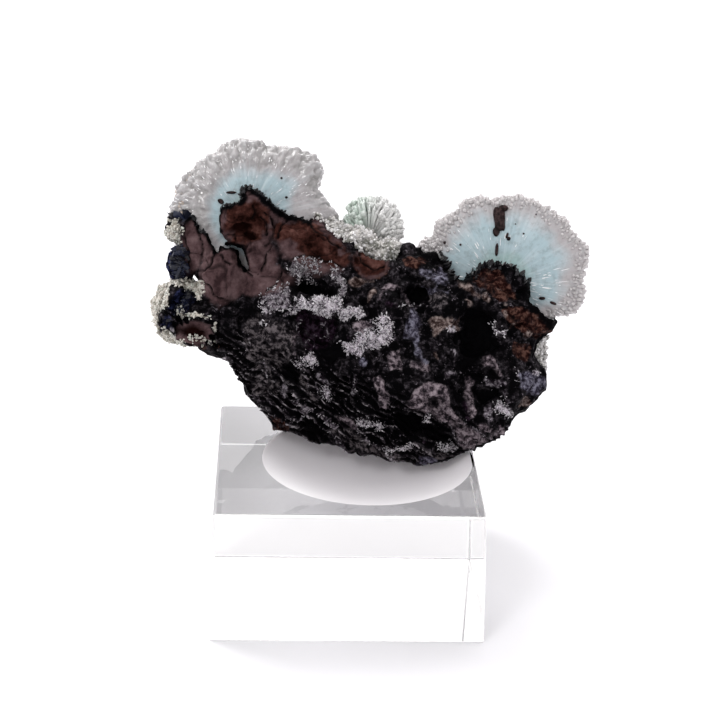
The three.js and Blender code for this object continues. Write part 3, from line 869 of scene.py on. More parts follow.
FIELDS["beige"] = [
    [7, 3.6, 7.9, 4, 9.5, 4.6, 9.9, 4, 11, 4.2, 11.9, 4.4, 12.3, 3.3, 12.1, 1.9, 11.5, 1.3, 10.5,
     2, 9.8, 2, 9.3, 1.3, 8.5, 1, 7.9, 2.2, 7.3, 3.3],
    [-1.7, 6.6, -1.1, 7.5, 0, 7.7, 0.4, 7, -0.4, 6.5, -1, 6],
    [8, -0.9, 8.8, -0.6, 9.3, -1.3, 9.9, -1.9, 9, -2.2, 8.3, -1.6],
    [16.6, 8.2, 17.6, 8.5, 18.5, 7.9, 17.6, 7.5, 17.1, 7.6],
    [15.1, 6.9, 15.9, 7.5, 16.5, 6.7, 17.1, 6.2, 16.2, 5.9, 15.4, 6.3],
    [18.2, 6, 19.1, 6.2, 19.4, 5.5, 18.5, 5.2],
    [11.2, 9.5, 11.9, 9, 13.1, 8.8, 14.1, 7.9, 15.1, 6.7, 14.5, 6.2, 13.6, 7, 12.5, 7.6, 11.6,
     8.3],
    [23, 4.2, 23.8, 4.2, 24.7, 3.3, 24, 2.9, 23.1, 3.4],
    [19.1, 3.3, 20.2, 3.7, 20.8, 3.3, 19.9, 2.7, 19.1, 2.3],
    [20.8, 1.6, 22, 2.2, 22.4, 1.7, 21.4, 1],
    [12.5, 6.6, 13.3, 6.6, 13.9, 5.6, 13.6, 4.9, 12.8, 5.3],
    [-4.2, 9, -3.3, 9.6, -1, 9.6, -0.4, 9, -1.9, 8.3, -3.6, 8.2],
    [20.4, -7.9, 21.1, -7.2, 22.2, -7.5, 22.8, -8.2, 22, -9, 20.2, -9.2],
    [-26.8, 0, -24.4, -0.7, -22.4, -1.9, -23.4, -2.2, -25.4, -1.3],
    [18.2, 4.9, 18.9, 4.6, 19.1, 3.6, 18.4, 3.9],
]
FIELDS["slate"] = [
    [5.6, 10.8, 6.5, 11.3, 8.2, 10.8, 9.3, 11, 10.5, 9.9, 11, 8.6, 10.5, 8, 9.3, 7.9, 8.5, 8.5,
     7.6, 8.8, 7, 9.5, 6.2, 9.9],
    [6.2, 8.9, 7.6, 8.2, 9.3, 7.7, 11, 7.9, 10.5, 7, 8.8, 7.3, 7.6, 6.9, 6.5, 7.9],
    [4.3, 3.9, 5, 5.3, 5.6, 4.7, 6.5, 3.9, 6.7, 3, 6.2, 2.2, 6.6, 0.4, 6.3, -0.4, 6.9, -1.6, 7.9,
     -2.4, 7, -3.3, 6, -2.4, 5.5, -0.7, 4.9, 0.4, 3.9, 1, 3.9, 2.7],
    [20.2, -4.2, 21.1, -3.6, 22.8, -3.7, 24.4, -4.7, 24.5, -6.2, 24, -7, 22.8, -7.3, 21.4, -6.7,
     20.4, -6.2],
    [6, -15.9, 7, -15.4, 7.9, -15.8, 8.9, -16.6, 7, -17.2, 5.9, -16.8],
    [-2.9, -2.2, -1.9, -1.7, -1.1, -2.4, -1.6, -3.3, -2.6, -3.2],
]
FIELDS["violet"] = [
    [-11.5, 3.9, -10.6, 5.2, -8.2, 4.7, -6.2, 3.6, -5.9, 1, -7.3, -0.7, -8.5, -1, -10.2, -1, -11.2,
     0.7],
    [12.6, -8.2, 13.5, -8.5, 13.9, -10.5, 13.2, -10.8, 12.6, -9.6],
    [6.2, -13.3, 7.3, -13.2, 7.7, -14.5, 6.5, -14.9],
    [-4.4, 1.6, -3.6, 1.4, -3.3, 0.6, -4.2, 0.6],
    [0.7, 6.5, 2.4, 6.2, 3.6, 5.6, 3, 4.7, 1.3, 5.3],
]
FIELDS["rust"] = [
    [13.6, 10.8, 15.4, 11.3, 17.9, 11, 18.5, 9.6, 19.9, 8.2, 20.8, 6.5, 19.1, 5.9, 17.4, 5.9, 15.1,
     7.9, 13.3, 8.8],
    [18.7, 5.7, 20.1, 5.6, 21.4, 5.3, 22.5, 4.7, 23.8, 4.3, 25, 3.3, 25.5, 2.4, 25, 1.6, 23.8, 1.1,
     22.8, 0.7, 21.7, 1.3, 20.1, 2.2, 19.1, 3.3, 17.9, 4.7],
    [19.7, 0.4, 22, 0.7, 22.8, 0, 22.2, -1.6, 21.4, -2.7, 20.2, -2.2, 19.7, -0.7],
    [3.6, 11.9, 7, 12.9, 7.6, 11.9, 5.6, 10.5, 3.9, 10.8],
    [-15.4, -9.6, -14.2, -9.9, -12.8, -10.8, -11.9, -11.9, -13.6, -12.3, -14.8, -12.2],
    [-20.7, -2.4, -19.7, -2.2, -18.5, -3, -19.1, -3.6, -20.2, -3.3],
    [-3.6, 11.9, -0.4, 12.8, 2.4, 11, 1.9, 9, -0.7, 9.6, -2.7, 9.9],
]
FIELDS["mottle"] = [
    [-19.1, 3.3, -16.8, 4.2, -15.1, 3.3, -13.1, 3.3, -11.9, 1.6, -12.2, -0.7, -11.3, -2.4, -13.1,
     -3.3, -16.2, -3.9, -18.2, -3, -18.9, 0],
    [-17.9, -3.9, -15.1, -3.9, -13.3, -5.6, -13.9, -7.6, -17.1, -7.3, -18.5, -5.6],
    [-4.7, -11.9, -3.3, -11.9, -1.9, -12.8, -0.4, -14.2, 1.3, -15.1, 3.6, -15.4, 3.6, -16.5, 1.6,
     -16.6, -0.4, -15.4, -3.3, -15.4, -4.4, -13.9],
    [-11, -3.3, -9.9, -3.9, -9, -6.2, -7.9, -7.9, -8.8, -8.5, -10.2, -6.7, -11, -5],
    [-7.9, -10, -5.9, -11.3, -4.4, -12.8, -3.6, -14.5, -5, -13.6, -7, -11.9],
    [8.2, -15.4, 10.5, -15.4, 11.9, -15.8, 10.2, -16.4, 8.2, -16.5],
    [7.3, 7.2, 10.2, 7, 10.5, 5.3, 7.9, 5],
]
# Outlines of sunk hollows, which the finish paints black as painted shade.
FIELDS["deep"] = [
    [12.5, 5.3, 14.8, 5.9, 16.8, 5, 17.6, 3.3, 16.5, 1.4, 17.9, 0, 18.7, -2.2, 17.6, -1, 15.9, -1,
     15.1, -3, 12.5, -3.6, 12.2, -0.7, 12.3, 2.2],
    [3.6, -9.3, 6.5, -10, 9, -11.6, 10.8, -13.1, 11, -13.8, 9.3, -14.2, 7.2, -13.1, 5, -12.8, 3.3,
     -12.2, 2.4, -10.5],
    [14.2, -6.5, 16.5, -6.2, 17.9, -6.5, 18.2, -7.3, 16.8, -8.2, 15.1, -8.5, 14.2, -7.6],
    [10.9, -5.9, 12.1, -6.5, 12.3, -8.2, 12.8, -9.9, 11.9, -9.6, 11.2, -8.2],
    [-13.6, -3, -12.2, -2.4, -10.8, -3.9, -11, -5.6, -12.8, -5.6],
    [-11.3, -11, -9, -10.5, -7.6, -12.2, -5.6, -13.6, -7.9, -13.8, -10.2, -12.8],
    [-19.9, 5.6, -17.6, 5.9, -16.2, 4.7, -17.4, 3.9, -19.1, 3.6],
    [-10.8, 8.5, -7.6, 8.8, -5.6, 8.5, -5.6, 7, -8.2, 7, -10.2, 7.3],
    [-7.3, 0.4, -5, -0.1, -4.4, -1.9, -6.5, -3, -7.9, -1.6],
    [15.9, -3.3, 17.1, -3.2, 17.6, -3.9, 16.8, -4.4, 15.9, -4],
    [7.7, -7.9, 8.9, -7.9, 9, -8.8, 7.9, -8.9],
    [5.9, 8.2, 7, 7.9, 7.3, 6.5, 5.3, 5.9, 5, 7.3],
]
print("Outlines:", {name: len(outlines) for name, outlines in FIELDS.items()})

# %% [markdown]
# ## Veins, casts and cracks
# Veins are lines with a half width. Tilted ellipses, each with its middle, half width, half
# height and tilt, place the brown casts, their red parts, the navy and tan places, the white
# on the crest and the caves. Cracks part the casts into lobes, and a few rings stand on them.

# %% Veins, casts and cracks
VEINS = [
    (0.16, [-17.9, -7.2, -16.2, -7.9, -14.8, -8.5]),
    (0.16, [-13.1, -9.3, -11.3, -10.8, -9.3, -10.2]),
    (0.17, [-8.5, -10.8, -7.6, -11.9, -6.2, -12.9, -5, -13.9, -3.9, -15.4]),
    (0.19, [-2.4, -11.5, -1, -13.3, 0.7, -14.8, 2.9, -15.9]),
    (0.19, [9.3, -10.5, 10.8, -11.9, 11.9, -13.6, 13.1, -14.2]),
    (0.17, [12.6, -10.9, 14.3, -11.9, 15.6, -12.6]),
    (0.14, [-18.7, -1.7, -17.9, 0, -18.1, 1.4]),
    (0.16, [-10.8, -3, -10.2, -4.7, -9.3, -6.7]),
    (0.16, [-9.6, -3.9, -8.5, -5.9, -7.9, -7.6]),
    (0.14, [-15.9, -2.4, -15.5, -4.2, -15.6, -5.9]),
    (0.16, [-12.5, -7.9, -10.8, -8.5, -9, -9.3]),
    (0.29, [18.4, -6.6, 18.7, -7.9]),
    (0.22, [11.3, -0.7, 11.5, -2.9]),
    (0.14, [2.9, 5.3, 4.7, 5.5, 6.5, 5.6]),
    (0.22, [-13.3, 3.9, -12.2, 4.7, -11.2, 5.2]),
    (0.14, [-10.9, 3.4, -11.6, 2.7, -11.5, 1.7, -10.6, 1.6]),
    (0.14, [-9.9, 0.3, -10.3, -0.4, -9.8, -1.1, -8.9, -1, -8.8, -0.1, -9.5, 0.4, -9.9, 0.3]),
    (0.14, [-8.2, 3, -7.2, 2.7, -6.9, 1.7, -7.7, 1.1, -8.8, 1.6]),
    (0.18, [-8.2, -9.6, -6.5, -10.8, -5.3, -11.6]),
]
CASTS = [(-25.6, 14.8, 2.2, 5.2, -16), (-22, 9.9, 3.6, 4.2, 0), (-18.2, 18.4, 4.9, 4.8, 0),
         (-16.7, 12.7, 2.8, 3.6, 0), (-9.8, 14.6, 6.8, 3.8, -36), (-16.6, 9.4, 4.8, 2.6, 0),
         (-26.3, 1.7, 2.7, 1.8, 0), (-0.6, 12.0, 2.6, 2.8, 0)]
NAVY = [(-28.0, 11.6, 1.7, 2.3, 0), (-27.8, 6.1, 1.4, 2.2, -35), (-30.1, 3.1, 0.7, 1.0, -20)]
RED = [(-18.4, 17.6, 3.6, 3.4, 0), (-8.6, 14.4, 5.2, 2.2, -34), (-0.6, 12.0, 2.4, 2.4, 0),
       (-13.2, 16.2, 1.6, 1.6, 0)]
TAN = [(-29.0, 18.7, 1.9, 1.2, 0), (-28.7, 15.9, 1.3, 1.7, 0), (-27.6, 8.9, 1.7, 0.8, 0),
       (-24.9, 8.2, 0.7, 1.1, 0), (-26.0, 4.1, 2.6, 0.3, -8), (-23.2, 2.5, 0.25, 0.9, 0),
       (-26.2, 0.6, 2.5, 0.25, 0), (-29.6, 1.4, 1.4, 0.7, -30), (-30.1, 6.6, 0.5, 1.6, 0)]
SNOW = [(-5.2, 15.9, 2.6, 0.7, -38), (-1.6, 13.6, 1.6, 0.6, -30),
        (-7.9, 18.2, 1.7, 0.45, -32)]
# Caves are sunk into the rock; on the casts the finish paints them red-black as shade.
CAVES = [(-19.3, 16.7, 1.7, 0.8, 8), (-18.0, 15.6, 1.0, 0.6, 0), (-27.8, 6.1, 1.3, 2.0, -35),
         (-30.1, 3.1, 0.7, 0.9, -20), (-8.4, 8.2, 2.2, 1.2, 0), (-8.0, 2.4, 2.8, 2.4, 0),
         (-26.2, 1.8, 2.2, 1.3, -8)]
CRACKS = [
    [(-27.5, 19.4), (-26.0, 18.0), (-25.2, 16.2), (-24.1, 15.9), (-23.5, 14.3), (-22.8, 13.1),
     (-24.5, 10.7), (-26.0, 10.3)],
    [(-25.5, 16.6), (-24.7, 14.5), (-25.2, 11.6)],
    [(-27.4, 17.1), (-27.3, 15.1), (-26.9, 13.3), (-26.5, 11.3)],
    [(-22.8, 13.1), (-21.8, 13.6), (-20.7, 13.6), (-19.9, 13.0), (-19.8, 11.9), (-18.7, 10.5),
     (-17.8, 9.8)],
    [(-22.1, 12.8), (-21.7, 12.1), (-20.9, 11.5)],
    [(-25.7, 9.9), (-24.2, 8.8), (-23.1, 7.0), (-21.4, 6.2), (-18.5, 6.5), (-16.2, 6.7)],
    [(-22.0, 19.8), (-22.4, 18.5), (-22.2, 16.2), (-21.4, 14.5), (-19.9, 14.2), (-18.7, 14.1)],
    [*LEFT_EDGE[10:20], (-9.8, 18.1)],
    [(-17.6, 19.9), (-17.1, 19.1), (-17.6, 18.1)],
    [(-16.2, 19.1), (-15.1, 18.5), (-14.5, 17.1), (-14.8, 15.4), (-15.9, 14.2)],
    [(-16.5, 18.4), (-15.8, 17.9), (-15.4, 16.9), (-15.8, 15.8)],
    [(-12.3, 18.2), (-13.5, 16.8), (-14.5, 14.7), (-15.5, 13.5), (-15.8, 11.9), (-16.2, 10.5)],
    [(-22.0, 15.6), (-20.9, 15.9), (-20.1, 15.4), (-19.9, 14.5)],
    [(-9.8, 18.1), (-8.8, 16.6), (-7.2, 15.5), (-6.0, 14.5), (-4.2, 13.6), (-2.6, 12.6)],
    [(-4.2, 11.0), (-6.5, 11.9), (-8.5, 12.5), (-10.8, 12.8), (-12.5, 11.9), (-13.5, 10.5),
     (-14.2, 8.8), (-15.6, 7.6)],
    [(-2.6, 14.0), (-2.0, 12.0), (-0.6, 10.8), (1.2, 11.0), (1.6, 13.0)],
]
CRACK = {"wide": 0.14, "deep": 0.34, "lip": 0.2, "lip_at": 0.46}
RINGS = [(-13.1, 14.9, 0.95), (-17.0, 12.2, 0.85), (-20.9, 12.4, 1.0), (-9.4, 13.9, 0.7)]
print("Casts, cracks and veins:", len(CASTS), len(CRACKS), len(VEINS))

# %% [markdown]
# ## From drawings to masks
# A drawing becomes a number from 0 to 1 at every vertex. The distance to its edge, as seen
# from the front, is shifted by noise, so that the edge is ragged, and climbs a short ramp.

# %% Masks from drawings
PATCH_EDGE = (-0.05, 0.2)
FIELD_EDGE = (-0.6, 0.5)
VEIN_EDGE = {"most": 1.3, "soft": 0.6, "waver": 0.2}
NEAR = 0.8


def patch(points, spots, seed, ragged=0.45, size=1.3):
    """How far inside any of the ellipses a point lies, from 0 to 1. The ellipse's own
    distance is 1 on its edge, and noise shifts that edge in and out."""
    x, z = seen(points).T
    rough = ragged * layers(points, size, 3, seed)
    best = np.zeros(len(points))
    for middle_x, middle_z, wide, high, tilt in spots:
        c, s = math.cos(math.radians(tilt)), math.sin(math.radians(tilt))
        across = ((x - middle_x) * c + (z - middle_z) * s) / wide
        up = ((z - middle_z) * c - (x - middle_x) * s) / high
        best = np.maximum(best, ramp_up(1 + rough - np.hypot(across, up), *PATCH_EDGE))
    return best


def close_to(flat, corners):
    """Which points lie in the box round some corners or just outside it."""
    return ((flat > corners.min(0) - NEAR) & (flat < corners.max(0) + NEAR)).all(axis=1)


def field(points, outlines, seed, ragged=0.55):
    """How far inside any outline a point lies as seen from the front, from 0 to 1: its
    distance from the outline, shifted by noise, climbs a short ramp. Only points near an
    outline's own box are worked out."""
    flat = seen(points)
    best = np.zeros(len(points))
    for outline in outlines:
        corners = np.array(outline).reshape(-1, 2)
        near = close_to(flat, corners)
        spots = flat[near]
        away = nearest_on(spots, [*corners, corners[0]])[0]
        away = np.where(inside(spots, corners), away, -away)
        away = away + ragged * layers(points[near], 1.4, 4, seed)
        best[near] = np.maximum(best[near], ramp_up(away, *FIELD_EDGE))
    return best


def veins(points):
    """1 along the middle of each vein and 0 a little beyond its half width."""
    flat = seen(points + VEIN_EDGE["waver"] * waves(points, 0.8, 73)[:, None])
    best = np.zeros(len(points))
    for half, run in VEINS:
        corners = np.array(run).reshape(-1, 2)
        near = close_to(flat, corners)
        away = nearest_on(flat[near], corners)[0]
        value = ramp_up(VEIN_EDGE["most"] - away / half, 0, VEIN_EDGE["soft"])
        best[near] = np.maximum(best[near], value)
    return best


# %% [markdown]
# ## The rock itself
# A rock is no neat function of two parameters: it has caves, knobs and overhangs. So it
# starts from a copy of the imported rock, whose main forms are already right. A voxel remesh
# turns that copy into small even faces, a few smoothing passes take the facets away, and then
# every vertex moves along its normal by a height worked out with numpy: crags, grit and pits
# on bare rock, cracks with raised lips and rings on the brown casts, thin layers low on the
# left.

# %% Rock surface
ROCK_NODE = "matrix_rock"
ROCK_VOXEL = 0.28
SMOOTHING = 3
SAME_PLACE = 0.001
FOLDS = {"size": 3.8, "wide": 2.4, "least": 0.1}
RED_FOLDS = {"size": 1.5, "wide": 1.9, "least": 0.11}
WAVER = {"crack": 0.22, "ring": 0.12}
RING_WIDE = 0.22
RAISED = {"white": 0.45, "lilac": 0.25, "mauve": 0.3, "beige": 0.3, "slate": 0.25}
SUNK = {"cave": 1.1, "deep": 0.9, "navy_cave": 1.3}
CRAGS = {"big": 0.5, "crest": 0.34, "fine": 0.16, "pits": 0.28, "bubbles": 0.15, "strata": 0.3}
SKIN = {"ring": 0.36, "lumps": 0.3}
GRIT = {"height": 0.22, "lift": 0.1, "navy": 1.3}
STRATA = {"lean": 0.62, "bend": 1.1, "thin": 2.9}


def copy_of(node_name, voxel, smoothing):
    """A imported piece's copy: its doubles merged, remeshed in small voxels and smoothed."""
    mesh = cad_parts[node_name].data.copy()
    merged = bmesh.new()
    merged.from_mesh(mesh)
    bmesh.ops.remove_doubles(merged, verts=merged.verts, dist=SAME_PLACE * MM)
    merged.to_mesh(mesh)
    merged.free()
    worker = bpy.data.objects.new("worker", mesh)
    add_to_scene(worker)
    remesh = worker.modifiers.new("remesh", "REMESH")
    remesh.mode = "VOXEL"
    remesh.voxel_size = voxel * MM
    smooth = worker.modifiers.new("smooth", "SMOOTH")
    smooth.iterations = smoothing
    ready = worker.evaluated_get(bpy.context.evaluated_depsgraph_get())
    result = bpy.data.meshes.new_from_object(ready)
    bpy.data.objects.remove(worker)
    result.polygons.foreach_set("use_smooth", np.full(len(result.polygons), True))
    return result


def cracks(points):
    """The distance to the nearest crack, wavered a little so that no line is ruled."""
    shift = np.stack([waves(points, 0.9, 71 + k) for k in range(3)], -1)
    wavered = points + WAVER["crack"] * shift
    return np.min([from_line(wavered, line) for line in CRACKS], axis=0)


def fine_folds(points, kind, seed):
    """The rough distance to the curves where slow noise changes sign: closed, lobed lines.
    They never come down to 0, which keeps them fainter than the drawn cracks."""
    return kind["wide"] * np.abs(waves(points, kind["size"], seed)) + kind["least"]


def rings(points):
    """Raised rings on the casts: 1 on each ring's circle, falling off beside it."""
    total = np.zeros(len(points))
    for x, z, radius in RINGS:
        away = np.hypot(points[:, 0] - x, points[:, 2] - z)
        away = away + WAVER["ring"] * waves(points, 0.8, 75)
        total = np.maximum(total, np.exp(-((away - radius) / RING_WIDE) ** 2))
    return total


def rock_relief(points, masks):
    """The height of every vertex above the smoothed copy, in millimetres."""
    bare = 1 - masks["cast"]
    crags = CRAGS["big"] * creases(points, 3.4, 3, 5) + CRAGS["crest"] * masks["crest"] - 0.1
    bubbles = ramp_up(0.75 - nearest_seed(points, 1.9, 3), 0, 0.75)
    pits = ramp_up(0.7 - nearest_seed(points, 1.25, 17), 0, 0.7)
    away = masks["away"]
    wide = CRACK["wide"] * (1 + 0.5 * waves(points, 2.2, 67))
    crack = -CRACK["deep"] * np.exp(-((away / wide) ** 2))
    lip = CRACK["lip"] * np.exp(-(((away - CRACK["lip_at"]) / CRACK["wide"]) ** 2))
    lumps = SKIN["lumps"] * layers(points, 2.6, 3, 21)
    cast = crack + lip + SKIN["ring"] * masks["ring"] + lumps
    low = masks["layered"]
    height = bare * (crags - CRAGS["pits"] * pits * (1 - low) + CRAGS["bubbles"] * bubbles)
    fine = CRAGS["strata"] * masks["crest"] * low + CRAGS["fine"] * creases(points, 1.1, 3, 65)
    height = height + bare * fine
    gritty = np.maximum(masks["black_rim"], GRIT["navy"] * masks["navy"])
    grit = gritty * (GRIT["height"] * creases(points, 0.9, 2, 77) + GRIT["lift"])
    raised = np.max([masks[name] * rise for name, rise in RAISED.items()], axis=0)
    lumpy = raised * (1 + 0.6 * layers(points, 1.1, 2, 23))
    hollow = SUNK["cave"] * masks["cave"] + SUNK["deep"] * masks["deep"]
    hollow = hollow + SUNK["navy_cave"] * masks["navy"] * masks["cave"]
    calmed = height * (1 - 0.5 * np.minimum(raised * 3, 1))
    return calmed + lumpy + masks["cast"] * cast + grit - hollow


def face_masks(points, normals):
    """What covers the rock at every vertex. Places on the front count only where the rock
    looks forward; the back and base get their own smaller share of each."""
    front = ramp_up(-normals[:, 1], -0.55, 0.0)
    other = 1 - front
    wild, growth = layers(points, 6, 3, 91), layers(points, 5, 3, 95)
    masks = {"cast": front * patch(points, CASTS, 41, 0.2)}
    for number, (name, outlines) in enumerate(FIELDS.items()):
        masks[name] = front * field(points, outlines, 43 + number)
    for name, extra in (("lilac", 0.9 * front * veins(points)),
                        ("rust", other * ramp_up(wild, 0.15, 0.5)),
                        ("mauve", other * 0.8 * ramp_up(-wild, 0.3, 0.55)),
                        ("lilac", other * 0.8 * ramp_up(growth, 0.35, 0.55))):
        masks[name] = np.maximum(masks[name], extra)
    masks["navy"] = patch(points, NAVY, 57, 0.2)
    masks["red"] = front * patch(points, RED, 55)
    masks["cave"] = front * patch(points, CAVES, 59, 0.3)
    masks["layered"] = front * ramp_up(-points[:, 2] - 0.35 * points[:, 0], 3, 8)
    masks["crest"] = creases(points, 1.5, 3, 9)
    bend = STRATA["bend"] * layers(points, 3.2, 4, 33)
    down = points[:, 2] + STRATA["lean"] * points[:, 0] + bend
    strata = 1 - 2 * np.abs(np.sin(STRATA["thin"] * down)) + 0.7 * masks["crest"]
    masks["crest"] += masks["layered"] * (strata - masks["crest"])
    red_folds = fine_folds(points, RED_FOLDS, 98) + 4 * (1 - masks["red"])
    lines = np.min([cracks(points), fine_folds(points, FOLDS, 99), red_folds], axis=0)
    masks["away"] = np.where(front > 0, lines, FAR)
    masks["tan"] = patch(points, TAN, 63, 0.2, 0.8) * (points[:, 1] < 4)
    masks["snow"] = patch(points, SNOW, 65, 0.2, 0.8) * (points[:, 1] < 4)
    masks["ring"] = front * rings(points)
    # Black rims beside the openings, where the rock ends in front of the sprays.
    masks["black_rim"] = front * black_edges(points)
    return masks


def rock_mesh():
    """The remeshed copy, moved out by its relief, with what covers it stored by name."""
    mesh = copy_of(ROCK_NODE, ROCK_VOXEL, SMOOTHING)
    points, normals = mesh_arrays(mesh)
    points, normals = to_specimen(points), normals @ TURN
    masks = face_masks(points, normals)
    points = points + normals * rock_relief(points, masks)[:, None]
    points, masks["open"] = open_up(trim(points))
    move_to(mesh, points)
    give(mesh, **masks)
    return mesh, masks


# %% [markdown]
# ## The rock's finish
# In the photograph the bare rock is nearly black, with a violet cast and countless grey and
# lilac glints. Brown casts are matt, with black cracks. Each stored number mixes in its own
# colour over the black, and the glints are glossier than the ore between them. Some of it is
# painted light: the pale glint spots, crests and layer edges are partly painted highlight,
# the black in cracks is partly painted shade, and in caves and sunk hollows it is painted shade.

# %% Rock material
BLACK = (0.0012, 0.001, 0.0014)
# Dust tones for the relief's crests: partly dust, partly painted highlight where the crests catch
# light, while the hollows stay black as painted shade.
DUST_AND_CREST_LIGHT = ((0.002, 0.0015, 0.002), (0.017, 0.014, 0.017), (0.06, 0.053, 0.06))
# Pale glint spots painted into the colour: partly pale specks in the ore, partly painted sparkle
# highlights.
PAINTED_GLINT = (0.24, 0.21, 0.24)
# Pale edges of the thin layers low on the left: partly pale stone, partly painted highlight on the
# raised edges.
LAYER_EDGE_PALE_AND_LIT = (0.34, 0.31, 0.33)
# Black in the casts' cracks and fold lines: partly dark joints, partly painted shade in the sunk
# cracks.
CRACK_BLACK_AND_SHADE = (0.003, 0.002, 0.002)
# Red-black painted shade for the sunk caves on the casts.
CAVE_RED_SHADE = (0.008, 0.002, 0.0015)
COVERS = {
    "violet": (1.4, (0.001, 0.0005, 0.001), (0.010, 0.004, 0.009), (0.04, 0.026, 0.04)),
    "mottle": (0.8, (0.0012, 0.0007, 0.0012), (0.016, 0.0135, 0.0155), (0.115, 0.10, 0.105)),
    "rust": (2.0, (0.004, 0.0006, 0.0006), (0.022, 0.007, 0.0055), (0.10, 0.05, 0.039)),
    "slate": (2.2, (0.006, 0.005, 0.009), (0.055, 0.050, 0.071), (0.19, 0.185, 0.235)),
    "mauve": (2.6, (0.010, 0.008, 0.010), (0.092, 0.072, 0.083), (0.27, 0.225, 0.245)),
    "beige": (2.2, (0.012, 0.006, 0.005), (0.085, 0.06, 0.056), (0.26, 0.21, 0.195)),
    "lilac": (0.9, (0.008, 0.005, 0.008), (0.085, 0.072, 0.085), (0.30, 0.27, 0.30)),
    "white": (1.6, (0.05, 0.04, 0.05), (0.34, 0.30, 0.34), (0.70, 0.65, 0.71)),
    "tan": (1.2, (0.16, 0.145, 0.12), (0.40, 0.37, 0.32), (0.62, 0.58, 0.52)),
    "navy": (0.8, (0.001, 0.001, 0.003), (0.004, 0.005, 0.016), (0.03, 0.035, 0.09)),
    "cast": (2.2, (0.026, 0.014, 0.015), (0.076, 0.045, 0.047), (0.14, 0.092, 0.094)),
    "red": (1.8, (0.006, 0.0015, 0.001), (0.040, 0.014, 0.011), (0.11, 0.05, 0.042)),
}
WHOLE = ("cast", "navy", "red")
OWN_GRAIN = ("cast", "red")
STOPS = {"dust_and_light": (0.4, 0.5, 0.62), "cover": (0.41, 0.5, 0.61), "own": (0.34, 0.5, 0.7)}
GLINT_NOISE = {"Detail": 4, "Roughness": 0.72}
GLINT_LEVEL = 0.72
GLINT_SOFT = 0.12


def glint_group():
    """A shared mask of scattered glints: noise pushed to hard islands, broken by finer
    noise. Its inputs are how wide the islands are and how much of the surface they cover."""
    group = bpy.data.node_groups.new("scattered_glints", "ShaderNodeTree")
    group.interface.new_socket("Scale", in_out="INPUT", socket_type="NodeSocketFloat")
    group.interface.new_socket("Cover", in_out="INPUT", socket_type="NodeSocketFloat")
    group.interface.new_socket("Mask", in_out="OUTPUT", socket_type="NodeSocketFloat")
    start = group.nodes.new("NodeGroupInput")
    finish = group.nodes.new("NodeGroupOutput")
    place = node(group, "ShaderNodeTexCoord").outputs["Object"]
    noise = node(group, "ShaderNodeTexNoise", {
        "Vector": place, "Scale": start.outputs["Scale"], **GLINT_NOISE}).outputs["Fac"]
    edge = maths(group, "SUBTRACT", GLINT_LEVEL, start.outputs["Cover"])
    mask = stretched(group, noise, edge, maths(group, "ADD", edge, GLINT_SOFT))
    group.links.new(mask, finish.inputs["Mask"])
    return group


GLINTS = glint_group()


def glints(tree, size, cover):
    """The shared group, placed with its own size in millimetres and cover."""
    return node(tree, "ShaderNodeGroup", {"Scale": 1 / (size * MM), "Cover": cover},
                node_tree=GLINTS).outputs["Mask"]


def broken(tree, mask, size):
    """A stored mask broken into crisp patches: noise of a size in millimetres has to rise
    above a level that the mask lowers, and even where the mask is 1 a little is left bare."""
    total = maths(tree, "MULTIPLY_ADD", mask, 0.55, grains(tree, size, 5, 0.7))
    return stretched(tree, total, 0.86, 1.06)


def product(tree, first, second):
    """Two masks multiplied."""
    return maths(tree, "MULTIPLY", first, second)


